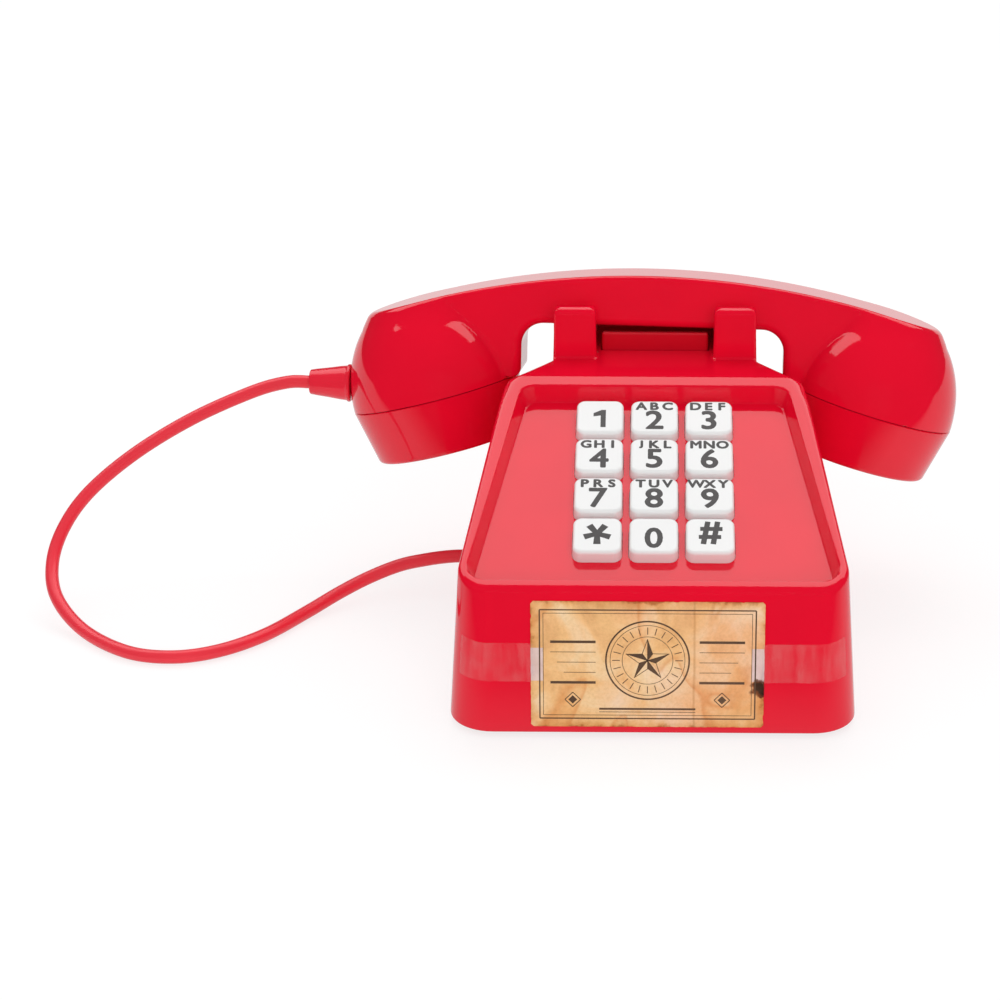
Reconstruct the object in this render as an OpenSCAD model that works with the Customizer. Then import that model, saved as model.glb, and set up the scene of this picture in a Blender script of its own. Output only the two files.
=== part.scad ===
// Desk telephone with a sloping push-button panel, a cradle and a corded handset.
// Millimetres. X to the right, Y to the back, Z up; the origin is the centre of the foot.

/* [Base] */
// Width of the foot at the front
foot_w_front = 137; // [132:1:142]
// Width of the foot at the back
foot_w_back = 127; // [122:1:131]
// Radius of the foot's front corners
foot_corner_r = 15; // [10:1:18]
// Radius of the foot's back corners
back_corner_r = 20; // [12:1:24]
// Height of the housing's lower edge above the table
foot_gap = 2; // [1.5:0.1:3]
// Thickness of the housing's wall
wall = 2.4; // [2:0.1:3]
// Width of the neck between the handset's cups
neck_w = 73; // [70:1:76]
// Distance from the panel's back edge to the neck
shoulder_len = 17; // [15:1:20]
// How far the neck's back stands in from the foot's back
neck_back_inset = 4; // [3:0.5:6]
// Distance from the back lugs to the neck's back edge
neck_margin = 0.9; // [0.6:0.1:2]

/* [Key panel] */
// Width of the panel at its front edge
panel_w_front = 132.6; // [130:0.2:134]
// Width of the panel at its back edge
panel_w_back = 105; // [102:0.5:108]
// Height of the panel's front edge
panel_front_z = 52.9; // [50:0.1:56]
// How far the panel's front edge stands in from the foot
panel_set_back = 5.2; // [4:0.1:8]
// Slope of the panel in degrees
panel_slope = 21.8; // [20:0.1:23]
// Width of the rim round the sunk panel
rim_w = 4.4; // [3.6:0.1:5]
// Depth of the sunk panel under the rim
recess_depth = 6.3; // [5.5:0.1:7]
// Slope of the sunk panel's sides in degrees
recess_draft = 20; // [12:1:24]
// Thickness of the panel's floor
floor_t = 2.2; // [1.8:0.1:2.6]

/* [Keys] */
// Distance between neighbouring keys
key_pitch = 19; // [18.8:0.1:19.6]
// Side of a key
key_w = 16.4; // [15.6:0.1:16.6]
// Height of a key above the panel's floor
key_rise = 4.65; // [4.2:0.05:5.2]
// Distance from the panel's front edge to the nearest row, along the slope
key_row_start = 26.4; // [25:0.2:28]
// Distance from the panel's back edge to the farthest row, along the slope
key_row_end = 18.3; // [17:0.1:20]
// Travel of a key
key_travel = 2; // [1.5:0.1:2.2]
// Radius of a key's corners
key_corner_r = 3; // [2:0.2:4]
// Width of a key's hidden flange
key_flange_w = 18.4; // [18:0.1:18.6]
// Thickness of a key's hidden flange
key_flange_t = 1.2; // [1:0.1:1.4]
// Gap round a key in its opening
key_gap = 0.3; // [0.2:0.05:0.4]

/* [Cradle] */
// Width of each cradle lug
lug_w = 15.6; // [14:0.2:17]
// Thickness of each cradle lug
lug_t = 6.5; // [5.5:0.1:7.5]
// Height of the front lugs above the deck
lug_h = 19; // [16:0.5:21]
// Height of the back lugs above the deck
back_lug_h = 13; // [10:0.5:15]
// Thickness of the back lugs
back_lug_t = 5.5; // [4.5:0.1:6.5]
// Gap between the front lugs and the resting handle
front_seat_gap = 1.4; // [1:0.1:2]
// Gap between the back lugs and the resting handle
back_seat_gap = 0.6; // [0.4:0.1:1]
// Distance from the neck's front to the front lugs
lug_set_back = 0.8; // [0.5:0.1:1.5]
// Width of the hook bar between the lugs
hook_bar_w = 38.4; // [36:0.2:39]
// Thickness of the hook bar
hook_bar_t = 6; // [5:0.2:7]
// Rise of the hook bar when the handset is lifted
hook_travel = 3; // [2:0.5:3.5]
// Gap round the hook bar in its slot
slot_gap = 0.3; // [0.2:0.05:0.4]

/* [Handset] */
// Distance between the centres of the seams
cup_spacing = 159.2; // [157:0.2:161]
// Diameter of the cups at the seam
cup_d = 62.6; // [61:0.2:64]
// Height of the cups' domes above the seam
dome_h = 38; // [36:0.5:40]
// Inward tilt of the cups in degrees
cup_tilt = 15.5; // [13:0.5:17]
// Depth from the handle's top to the seam's centre
seam_drop = 46.3; // [45:0.1:48]
// Width of the handle
handle_w = 32; // [30:0.5:34]
// Thickness of the handle at its middle
handle_t = 18.4; // [17:0.2:20]
// Radius of the handle's curved top
handle_top_r = 312; // [300:2:330]
// Half of the clear span under the handle
arch_half = 47.5; // [46:0.5:49]
// Radius of the corners under the handle
arch_r = 8; // [6:0.5:10]
// Height of the end caps
cap_h = 20.8; // [18:0.1:22]
// Radius of the end caps at their face
cap_face_r = 27.2; // [26:0.1:28.5]
// Wall of the handset
handset_wall = 3; // [2.5:0.1:3.5]
// Backward lean of the handset on the cradle in degrees
handset_lean = 14; // [12:0.5:16]
// Sideways place of the resting handset
handset_x = 0.1; // [-0.4:0.1:0.6]
// Turn of the resting handset seen from above, in degrees
handset_yaw = -2.5; // [-3:0.5:3]
// Sideways tilt of the resting handset in degrees
handset_roll = 0.6; // [0:0.1:0.8]
// Gap under the resting handle
seat_gap = 0.3; // [0.25:0.05:0.5]
// Height by which the handset lifts off
lift_height = 80; // [60:5:100]

/* [Front label] */
// Width of the paper card
card_w = 77.5; // [72:0.5:80]
// Height of the paper card
card_h = 44.5; // [40:0.5:46]
// Height of the card's lower edge on the front face
card_up = 2.6; // [2:0.2:4]
// Sideways shift of the card
card_shift = -1.8; // [-3:0.2:3]
// Thickness of the card
card_t = 0.3; // [0.2:0.05:0.4]
// Height of the tape strips
tape_h = 13.6; // [12:0.2:15]
// Height of the tape's lower edge on the front face
tape_up = 18.6; // [16:0.2:21]
// Thickness of the tape
tape_t = 0.16; // [0.1:0.02:0.2]
// Angle that the tape runs round the corner, in degrees
tape_wrap = 52; // [40:2:60]

/* [Foot and battery box] */
// Thickness of the bottom cover
cover_t = 2.4; // [2:0.1:3]
// Gap round the bottom cover
cover_gap = 0.3; // [0.2:0.05:0.5]
// Diameter of a rubber foot
foot_d = 14; // [12:0.5:16]
// Diameter of a battery
cell_d = 14.3; // [14:0.1:14.5]
// Length of a battery
cell_len = 50.2; // [49.5:0.1:50.5]
// Room for the contacts at each end of the batteries
contact_room = 3.4; // [3:0.1:5]
// Height of the battery box inside
box_h = 15.4; // [15:0.2:17]
// Thickness of the battery door
door_t = 2; // [1.6:0.1:2.4]
// Gap round the battery door
door_gap = 0.25; // [0.2:0.05:0.4]

/* [Screws and inside parts] */
// Diameter of the screws
screw_d = 2.6; // [2.4:0.1:3]
// Gap between a screw and its hole
screw_gap = 0.05; // [0.03:0.01:0.1]
// Diameter of the screw posts
post_d = 8; // [7:0.5:9]
// Thickness of the circuit boards
board_t = 1.6; // [1.2:0.1:1.8]
// Margin of the keypad board beside the keys' flanges
board_side = 8.8; // [8:0.2:10]
// Margin of the keypad board in front of the keys' flanges
board_front = 10.2; // [9:0.2:12]
// Margin of the keypad board behind the keys' flanges
board_back = 5.4; // [4:0.2:6]
// Width of the main board
main_w = 68; // [60:1:72]
// Depth of the main board
main_d = 31; // [28:0.5:34]
// Thickness of the hook bracket
bracket_t = 2; // [1.6:0.1:2.4]
// Width of the hook bracket
bracket_w = 66; // [62:0.5:68]
// Diameter of the earpiece capsule
earpiece_d = 40; // [36:1:44]
// Height of the earpiece capsule
earpiece_h = 9; // [7:0.5:10]
// Diameter of the microphone capsule
microphone_d = 18; // [14:1:22]
// Height of the microphone capsule
microphone_h = 7; // [5:0.5:8]
// Diameter of the handset's weights
weight_d = 24; // [20:1:28]
// Height of the handset's weights
weight_h = 8; // [6:0.5:9]
// Diameter of the base loudspeaker
speaker_d = 50; // [46:1:52]
// Diameter of the cord
cord_d = 4.8; // [4.2:0.1:5]
// Small gap between parts that stay together
fit = 0.05; // [0.03:0.01:0.1]

/* [Hidden] */

far = 250;
panel_len = key_row_start + 3 * key_pitch + key_row_end;
panel_plan = panel_len * cos(panel_slope);
yaw_shift = neck_w / 2 * sin(abs(handset_yaw));
neck_len = lug_set_back + lug_t + front_seat_gap + handle_w * cos(handset_lean)
    + handle_t * sin(handset_lean) + 2 * yaw_shift + back_seat_gap + back_lug_t + neck_margin;
base_depth = panel_set_back + panel_plan + shoulder_len + neck_len + neck_back_inset;
panel_y0 = -base_depth / 2 + panel_set_back;
panel_y1 = panel_y0 + panel_plan;
deck_z = panel_front_z + panel_plan * tan(panel_slope);
side_angle = atan((panel_w_front - panel_w_back) / 2 / panel_plan);
panel_corner_r = 10;
shoulder_r = 10;
neck_r = 8;
neck_corner_r = 9;
neck_y0 = panel_y1 + shoulder_len;
neck_y1 = base_depth / 2 - neck_back_inset;
shoulder_angle = atan((panel_w_back - neck_w) / 2 / shoulder_len);
face_lean = atan(panel_set_back / (panel_front_z - foot_gap));
arc_steps = 6;

function lerp(a, b, t) = a + (b - a) * t;
function smooth(a, b, x) = let(t = min(1, max(0, (x - a) / (b - a)))) t * t * (3 - 2 * t);
function panel_z(y) = panel_front_z + (y - panel_y0) * tan(panel_slope);
function top_z(y) = min(panel_z(y), deck_z);
function foot_x(y) = lerp(foot_w_front, foot_w_back, (y + base_depth / 2) / base_depth) / 2;
function panel_x(y) = lerp(panel_w_front, panel_w_back, (y - panel_y0) / panel_plan) / 2;

// A station is [foot x, foot y, top x, top y, flare]: it ties a point of the foot's outline to
// one of the top's outline. Inset moves both inward. Flare 1 gives the cup-clearing neck.
function waist(y) = smooth(panel_y1 - 20, neck_y0, y);

function front_station(a_foot, a_top, inset) =
    let(foot_c = [foot_w_front / 2 - foot_corner_r, -base_depth / 2 + foot_corner_r],
        top_c = [panel_w_front / 2 - panel_corner_r * (tan(side_angle) + 1 / cos(side_angle)),
            panel_y0 + panel_corner_r],
        fr = foot_corner_r - inset,
        tr = panel_corner_r - inset)
    [foot_c[0] + fr * cos(a_foot), foot_c[1] + fr * sin(a_foot),
        top_c[0] + tr * cos(a_top), top_c[1] + tr * sin(a_top), 0];

function side_station(y, inset) = [foot_x(y) - inset, y, panel_x(y) - inset, y, waist(y)];

function shoulder_station(a, inset) =
    let(mid = (side_angle + 90 - shoulder_turn) / 2,
        half = mid - side_angle,
        c = [panel_w_back / 2, panel_y1] - shoulder_r / cos(half) * [cos(mid), sin(mid)],
        p = c + (shoulder_r - inset) * [cos(a), sin(a)],
        y = a == mid ? panel_y1 : p[1])
    [foot_x(y) - inset, y, p[0], y, waist(y)];
shoulder_turn = atan(shoulder_len / ((panel_w_back - neck_w) / 2));
shoulder_mid = (side_angle + 90 - shoulder_turn) / 2;

function neck_station(a, inset) =
    let(mid = (90 - shoulder_turn) / 2,
        c = [neck_w / 2, neck_y0] + neck_r / cos(mid) * [cos(mid), sin(mid)],
        p = c - (neck_r + inset) * [cos(a), sin(a)])
    [foot_x(p[1]) - inset, p[1], p[0], p[1], waist(p[1])];

function back_station(a, inset) =
    let(foot_c = [foot_w_back / 2 - back_corner_r, base_depth / 2 - back_corner_r],
        top_c = [neck_w / 2 - neck_corner_r, neck_y1 - neck_corner_r],
        fr = back_corner_r - inset,
        tr = neck_corner_r - inset)
    [foot_c[0] + fr * cos(a), foot_c[1] + fr * sin(a),
        top_c[0] + tr * cos(a), top_c[1] + tr * sin(a), 1];

function half_stations(inset) = concat(
    [[0, -base_depth / 2 + inset, 0, panel_y0 + inset, 0]],
    [for (k = [0:arc_steps]) front_station(-90 + 91.6 * k / arc_steps,
        -90 + (90 + side_angle) * k / arc_steps, inset)],
    [for (t = [0.35, 0.75]) side_station(lerp(panel_y0, panel_y1, t), inset)],
    [shoulder_station(side_angle, inset), shoulder_station(shoulder_mid, inset),
        shoulder_station(90 - shoulder_turn, inset)],
    [for (k = [0:2]) neck_station((90 - shoulder_turn) * (1 - k / 2), inset)],
    [side_to_back(0.4, inset)],
    [for (k = [0:arc_steps]) back_station(90 * k / arc_steps, inset)],
    [[0, base_depth / 2 - inset, 0, neck_y1 - inset, 1]]);
function side_to_back(t, inset) =
    let(y = lerp(neck_y0, neck_y1, t))
    [foot_x(y) - inset, y, neck_w / 2 - inset, y, 1];
crease = arc_steps + 5;

function flare(h) = 0.72 * smooth(0.27, 0.47, h) + 0.28 * h;
ring_heights = [0, 0.12, 0.27, 0.32, 0.36, 0.4, 0.44, 0.48, 0.6, 0.8, 1];

function station_point(s, h) = [
    lerp(s[0], s[2], lerp(h, flare(h), s[4])),
    lerp(s[1], s[3], h),
    lerp(foot_gap, top_z(s[3]), h)];
function mirrored(s) = [-s[0], s[1], -s[2], s[3], s[4]];
function full_ring(half) = concat(half,
    [for (k = [len(half) - 2:-1:1]) mirrored(half[k])]);

module body_loft(inset, drop = 0) {
    ring = full_ring(half_stations(inset));
    n = len(ring);
    low = [for (s = ring) station_point(s, 0) - [0, 0, drop]];
    rings = [for (h = ring_heights) each [for (s = ring) station_point(s, h)]];
    points = drop > 0 ? concat(low, rings) : rings;
    m = len(points) / n;
    sides = [for (k = [0:m - 2]) for (j = [0:n - 1])
        let(a = k * n + j, b = k * n + (j + 1) % n, c = a + n, d = b + n)
        each [[a, c, d], [a, d, b]]];
    last = (m - 1) * n;
    panel = [for (j = [crease:-1:-crease]) last + (j + n) % n];
    back = n / 2;
    deck = concat(
        [for (j = [crease:back - 3]) [last + n - j, last + n - j - 1, last + j + 1, last + j]],
        [[for (j = [back + 2:-1:back - 2]) last + j]]);
    polyhedron(points, concat(sides, [[for (j = [0:n - 1]) j]], [panel], deck));
}

module on_panel() {
    translate([0, panel_y0, panel_front_z]) rotate([panel_slope, 0, 0]) children();
}

module above_cavity() {
    drop = (recess_depth + floor_t) / cos(panel_slope);
    ceiling_y = panel_y1 + (drop - wall) / tan(panel_slope);
    rotate([90, 0, 90])
        translate([0, 0, -far])
            linear_extrude(2 * far)
                polygon([[panel_y0 - 20, panel_z(panel_y0 - 20) - drop], [ceiling_y, deck_z - wall],
                    [far, deck_z - wall], [far, far], [panel_y0 - 20, far]]);
}

function rounded_square(w, h, r, n = 4) = [
    for (q = [0:3]) for (k = [0:n])
        let(a = 90 * q + 90 * k / n,
            cx = (q == 0 || q == 3 ? 1 : -1) * (w / 2 - r),
            cy = (q < 2 ? 1 : -1) * (h / 2 - r))
        [cx + r * cos(a), cy + r * sin(a)]];

recess_rim_r = 6.5;
recess_floor_r = 4.5;
module recess_outline(inset, r) {
    x0 = panel_w_front / 2 - inset;
    x1 = panel_w_back / 2 - inset;
    hull() {
        for (sx = [-1, 1]) {
            translate([sx * (x0 - r), inset + r]) circle(r, $fn = 32);
            translate([sx * (x1 - r), panel_len - inset - r]) circle(r, $fn = 32);
        }
    }
}

module recess() {
    over = 1;
    on_panel()
        hull() {
            translate([0, 0, -recess_depth])
                linear_extrude(0.01) recess_outline(rim_w + recess_depth * tan(recess_draft), recess_floor_r);
            translate([0, 0, over])
                linear_extrude(0.01) recess_outline(rim_w - over * tan(recess_draft), recess_rim_r);
        }
}

key_x = [-key_pitch, 0, key_pitch];
function key_y(row) = key_row_start + row * key_pitch;

module key_openings() {
    on_panel()
        for (row = [0:3]) for (x = key_x)
            translate([x, key_y(row), -recess_depth - 2 * floor_t])
                linear_extrude(3 * floor_t)
                    polygon(rounded_square(key_w + 2 * key_gap, key_w + 2 * key_gap,
                        key_corner_r + key_gap));
}

// Depths below the rim's plane, square to the panel
floor_under = -recess_depth - floor_t;
flange_top = floor_under - fit;
flange_under = flange_top - key_flange_t;
plunger_under = flange_under - 2.6;
dome_top = plunger_under - key_travel - 0.1;
sheet_top = dome_top - 0.6;
board_top = sheet_top - 1;
board_w = 2 * key_pitch + key_flange_w + 2 * board_side;
board_y0 = key_row_start - key_flange_w / 2 - board_front;
board_len = 3 * key_pitch + key_flange_w + board_front + board_back;
board_post_x = key_pitch + key_flange_w / 2 + 4.3;
board_posts = [for (y = [board_y0 + 8, board_y0 + board_len - 8]) for (sx = [-1, 1])
    [sx * board_post_x, y]];

lug_y0 = neck_y0 + lug_set_back;
lug_x = neck_w / 2 - lug_w / 2;
slot_y = lug_y0 + lug_t + 4.9;
handset_y = lug_y0 + lug_t + front_seat_gap + handle_w / 2 * cos(handset_lean)
    + handle_t * sin(handset_lean) + yaw_shift;
handset_z = deck_z + seat_gap + handle_w / 2 * sin(handset_lean) + handle_t * cos(handset_lean)
    + neck_w / 2 * sin(handset_roll);
function under_handle(y) = handset_z - handle_t / cos(handset_lean)
    - (y - handset_y + yaw_shift) * tan(handset_lean) - neck_w / 2 * sin(handset_roll);
back_lug_y = handset_y + handle_w / 2 * cos(handset_lean) + yaw_shift + back_seat_gap;

module lug_profile(y, t, h, r = 1.4) {
    translate([y + t / 2, deck_z + h / 2 - 1])
        polygon(rounded_square(t, h + 2, r));
}

module saddle_profile() {
    y0 = lug_y0 + lug_t - 0.5;
    y1 = handset_y - 2;
    polygon([[y0, deck_z - 1], [y1, deck_z - 1], [y1, under_handle(y1) - seat_gap],
        [y0, under_handle(y0) - seat_gap]]);
}

module cradle() {
    for (sx = [-1, 1])
        translate([sx * lug_x - lug_w / 2, 0, 0])
            rotate([90, 0, 90])
                linear_extrude(lug_w) {
                    lug_profile(lug_y0, lug_t, lug_h);
                    lug_profile(back_lug_y, back_lug_t, back_lug_h);
                    saddle_profile();
                }
}

front_edge = -base_depth / 2;
back_edge = base_depth / 2;
cover_posts = [for (sx = [-1, 1]) each [[sx * (foot_w_front / 2 - 18.5), front_edge + 31.5],
    [sx * (foot_w_back / 2 - 17.5), back_edge - 21.5]]];
bracket_z = deck_z - 28.7;
bracket_margin = 6;
bracket_post_back = 9;
bracket_posts = [for (sx = [-1, 1]) [sx * (bracket_w / 2 - bracket_margin), slot_y + bracket_post_back]];
cover_top = foot_gap + cover_t;

module post_bodies(d) {
    for (p = cover_posts)
        translate([p[0], p[1], cover_top]) cylinder(d = d, h = far, $fn = 32);
    for (p = bracket_posts)
        translate([p[0], p[1], bracket_z + bracket_t]) cylinder(d = d, h = far, $fn = 32);
    on_panel()
        for (p = board_posts)
            translate([p[0], p[1], board_top]) cylinder(d = d - 1, h = far, $fn = 32);
}

screw_len = 8;
inner_head_d = 5;
inner_head_h = 1.6;
module post_bores() {
    r = screw_d / 2 + screw_gap;
    for (p = cover_posts)
        translate([p[0], p[1], cover_top - 1]) cylinder(r = r, h = screw_len + 1, $fn = 32);
    for (p = bracket_posts)
        translate([p[0], p[1], bracket_z]) cylinder(r = r, h = screw_len + 1, $fn = 32);
    on_panel()
        for (p = board_posts)
            translate([p[0], p[1], board_top - 1]) cylinder(r = r, h = 5, $fn = 32);
}

cord_entry_y = 20;
cord_entry_z = 16.6;

module housing() {
    color("#e60c2e")
        difference() {
            union() {
                difference() {
                    body_loft(0);
                    difference() {
                        body_loft(wall, 1);
                        above_cavity();
                        post_bodies(post_d);
                    }
                }
                cradle();
            }
            recess();
            key_openings();
            post_bores();
            translate([-hook_bar_w / 2 - slot_gap, slot_y - hook_bar_t / 2 - slot_gap, deck_z - 10])
                cube([hook_bar_w + 2 * slot_gap, hook_bar_t + 2 * slot_gap, 20]);
            translate([-foot_w_front / 2 - 5, cord_entry_y, cord_entry_z]) rotate([0, 90, 0])
                cylinder(r = cord_d / 2 + fit, h = 20, $fn = 32);
        }
}

module cover_outline() {
    ring = full_ring(half_stations(wall + cover_gap));
    polygon([for (s = ring)
        let(p = station_point(s, cover_t / (top_z(s[3]) - foot_gap)))
        [p[0], p[1]]]);
}

box_w = 3 * (cell_d + 0.3) + 1;
box_len = cell_len + 2 * contact_room;
box_y = back_edge - 73.5;
box_floor = foot_gap + door_t + 0.2;
feet = [for (sx = [-1, 1]) each [[sx * (foot_w_front / 2 - 18.5), front_edge + 15.5],
    [sx * (foot_w_back / 2 - 17.5), back_edge - 35.5]]];
foot_sink = 0.8;
speaker_y = front_edge + 43.5;
speaker_z = cover_top;
main_y0 = back_edge - main_d - 7.5;
main_posts = [for (y = [main_y0 + 6, main_y0 + main_d - 6]) for (sx = [-1, 1])
    [sx * (main_w / 2 - 6), y]];
main_z = 12;
clamp_x = -foot_w_front / 2 + 18.5;

door_tab_w = 14;
door_tab_l = 10;
door_screw_y = box_y + box_w / 2 + 5;

module door_outline(gap) {
    translate([-box_len / 2 + gap, box_y - box_w / 2 + gap])
        square([box_len - 2 * gap, box_w - 2 * gap]);
    translate([-door_tab_w / 2 + gap, box_y + box_w / 2 - 1])
        square([door_tab_w - 2 * gap, door_tab_l + 1 - gap]);
}

module bottom_cover() {
    color("#b00c28")
        difference() {
            union() {
                translate([0, 0, foot_gap]) linear_extrude(cover_t) cover_outline();
                translate([-box_len / 2 - 2, box_y - box_w / 2 - 2, foot_gap])
                    cube([box_len + 4, box_w + 4, box_floor - foot_gap + box_h + 2]);
                for (p = main_posts)
                    translate([p[0], p[1], foot_gap + 1]) cylinder(d = 6, h = main_z - foot_gap - 1, $fn = 32);
                translate([0, door_screw_y, foot_gap + 1]) cylinder(d = post_d, h = 9, $fn = 32);
                translate([0, speaker_y, foot_gap + 1])
                    difference() {
                        cylinder(d = speaker_d + 4, h = 6, $fn = 96);
                        cylinder(d = speaker_d + 2 * fit, h = 8, $fn = 96);
                    }
            }
            translate([-box_len / 2, box_y - box_w / 2, foot_gap - 1])
                cube([box_len, box_w, box_floor - foot_gap + 1 + box_h]);
            for (p = cover_posts)
                translate([p[0], p[1], foot_gap - 1]) {
                    cylinder(r = screw_d / 2 + screw_gap, h = 5, $fn = 32);
                    cylinder(r = screw_d, h = 2, $fn = 32);
                }
            translate([0, 0, foot_gap - 1]) linear_extrude(door_t + 1.1) door_outline(0);
            translate([0, door_screw_y, foot_gap]) cylinder(r = screw_d / 2 + screw_gap, h = 8, $fn = 32);
            for (p = feet)
                translate([p[0], p[1], foot_gap - 1]) cylinder(d = foot_d + 2 * fit, h = 1 + foot_sink, $fn = 48);
            for (p = main_posts)
                translate([p[0], p[1], main_z - 6]) cylinder(r = screw_d / 2 + screw_gap, h = 7, $fn = 32);
            for (k = [0:2])
                for (j = [0:max(0, 6 * k - 1)])
                    rotate_hole(k * 6, 360 * j / max(1, 6 * k));
        }
}

module rotate_hole(r, a) {
    translate([r * cos(a), speaker_y + r * sin(a), foot_gap - 1]) cylinder(d = 2.4, h = 5, $fn = 24);
}

module rubber_feet() {
    color("#202020")
        for (p = feet)
            translate([p[0], p[1], 0]) cylinder(d = foot_d, h = foot_gap + foot_sink, $fn = 48);
}

module battery_door() {
    color("#b00c28")
        difference() {
            translate([0, 0, foot_gap]) linear_extrude(door_t) door_outline(door_gap);
            translate([0, door_screw_y, foot_gap - 1]) {
                cylinder(r = screw_d / 2 + screw_gap, h = 5, $fn = 32);
                cylinder(r = screw_d, h = 2, $fn = 32);
            }
        }
}

module door_screw() {
    color("#9a9a9a")
        translate([0, door_screw_y, foot_gap + 1]) screw(door_t + 4.5, 2 * screw_d - 0.2, 0.9);
}

function cell_y(k) = box_y + (k - 1) * (cell_d + 0.3);

module batteries() {
    color("#3c3c40")
        for (k = [0:2])
            translate([k % 2 == 0 ? cell_len / 2 : -cell_len / 2, cell_y(k), box_floor + cell_d / 2])
                rotate([0, k % 2 == 0 ? -90 : 90, 0])
                    rotate_extrude($fn = 48)
                        polygon([[0, 0], [cell_d / 2, 0], [cell_d / 2, cell_len - 1.5],
                            [2.7, cell_len - 1.5], [2.7, cell_len], [0, cell_len]]);
}

contact_t = 0.5;
module battery_contacts() {
    color("#c8c8c8")
        for (sx = [-1, 1]) for (k = [0:2])
            translate([sx * (box_len / 2 - contact_t / 2 - fit), cell_y(k), box_floor + cell_d / 2]) {
                cube([contact_t, 9, 9], center = true);
                translate([-sx * (contact_t / 2 + contact_gap / 2), 0, 0]) rotate([0, 90, 0])
                    cylinder(d = 5, h = contact_gap, center = true, $fn = 32);
            }
}
contact_gap = contact_room - contact_t - 2 * fit;

module screw(length, head_d, head_h) {
    cylinder(d = screw_d, h = length, $fn = 32);
    translate([0, 0, -head_h]) cylinder(d = head_d, h = head_h, $fn = 32);
}

module cover_screws() {
    color("#9a9a9a")
        for (p = cover_posts)
            translate([p[0], p[1], foot_gap + 1]) screw(cover_t - 1 + screw_len - 1, 2 * screw_d - 0.2, 0.9);
}

module keypad_membrane() {
    color("#8c8c86")
        on_panel()
            difference() {
                union() {
                    translate([-board_w / 2, board_y0, board_top])
                        cube([board_w, board_len, sheet_top - board_top]);
                    for (row = [0:3]) for (x = key_x)
                        translate([x, key_y(row), sheet_top - 0.1])
                            cylinder(d = 10, h = dome_top - sheet_top + 0.1, $fn = 32);
                }
                for (p = board_posts)
                    translate([p[0], p[1], board_top - 1]) cylinder(d = post_d - 0.4, h = 4, $fn = 32);
            }
}

module keypad_board() {
    color("#2f6b3c")
        on_panel()
            difference() {
                translate([-board_w / 2, board_y0, board_top - board_t]) cube([board_w, board_len, board_t]);
                for (p = board_posts)
                    translate([p[0], p[1], board_top - 3]) cylinder(r = screw_d / 2 + screw_gap, h = 5, $fn = 32);
            }
}

module board_screws() {
    color("#9a9a9a")
        on_panel()
            for (p = board_posts)
                translate([p[0], p[1], board_top - board_t]) screw(board_t + 3.5, inner_head_d, inner_head_h);
}

module main_board() {
    color("#2f6b3c")
        difference() {
            translate([-main_w / 2, main_y0, main_z]) cube([main_w, main_d, board_t]);
            for (p = main_posts)
                translate([p[0], p[1], main_z - 1]) cylinder(r = screw_d / 2 + screw_gap, h = 5, $fn = 32);
        }
}

module main_board_screws() {
    color("#9a9a9a")
        for (p = main_posts)
            translate([p[0], p[1], main_z + board_t]) rotate([180, 0, 0]) screw(board_t + 5, inner_head_d, inner_head_h);
}

module base_speaker() {
    color("#303034")
        translate([0, speaker_y, speaker_z])
            rotate_extrude($fn = 96)
                polygon([[speaker_d / 2 - 4, 0], [speaker_d / 2, 0], [speaker_d / 2, 2], [14, 9], [10, 9],
                    [10, 7.5], [speaker_d / 2 - 4, 1.2]]);
}

module speaker_magnet() {
    color("#707074")
        translate([0, speaker_y, speaker_z + 9])
            cylinder(d = 27, h = 7, $fn = 64);
}

hook_under_z = deck_z - 11;
hook_lip = 2.4;
hook_lip_t = 2;
module hook_bar() {
    y0 = slot_y - hook_bar_t / 2;
    y1 = slot_y + hook_bar_t / 2;
    color("#c00a26") {
        translate([-hook_bar_w / 2, 0, 0])
            rotate([90, 0, 90])
                linear_extrude(hook_bar_w)
                    polygon([[y0, hook_under_z - hook_lip_t / 2], [y1, hook_under_z - hook_lip_t / 2],
                        [y1, under_handle(y1) - seat_gap], [y0, under_handle(y0) - seat_gap]]);
        translate([-hook_bar_w / 2 - hook_lip, y0 - hook_lip, hook_under_z - hook_lip_t])
            cube([hook_bar_w + 2 * hook_lip, hook_bar_t + 2 * hook_lip, hook_lip_t]);
    }
}

bracket_top = bracket_z + bracket_t;
module hook_bracket() {
    color("#404044")
        difference() {
            union() {
                translate([-bracket_w / 2, slot_y - bracket_margin, bracket_z])
                    cube([bracket_w, bracket_post_back + 2 * bracket_margin, bracket_t]);
                translate([0, slot_y, bracket_top - 0.5]) cylinder(d = 5, h = 4.5, $fn = 32);
            }
            for (p = bracket_posts)
                translate([p[0], p[1], bracket_z - 1]) cylinder(r = screw_d / 2 + screw_gap, h = 5, $fn = 32);
        }
}

module bracket_screws() {
    color("#9a9a9a")
        for (p = bracket_posts)
            translate([p[0], p[1], bracket_z]) screw(bracket_t + screw_len - 2, inner_head_d, inner_head_h);
}

module hook_switch() {
    color("#222226") {
        translate([9, slot_y - 3, bracket_top]) cube([12, 6, 9]);
        translate([13, slot_y - 1, bracket_top + 8.9]) cube([3, 2, hook_under_z - hook_lip_t - bracket_top - 9.1]);
    }
}

// Tube of a given radius along a list of centre points
function unit(v) = v / norm(v);
function tube_points(path, r, sides) = [
    for (k = [0:len(path) - 1])
        let(d = unit(path[min(k + 1, len(path) - 1)] - path[max(k - 1, 0)]),
            side = unit(cross(d, abs(d[2]) > 0.9 ? [1, 0, 0] : [0, 0, 1])),
            up = cross(side, d))
        for (j = [0:sides - 1])
            let(a = 360 * j / sides)
            path[k] + r * (cos(a) * side + sin(a) * up)];

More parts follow.
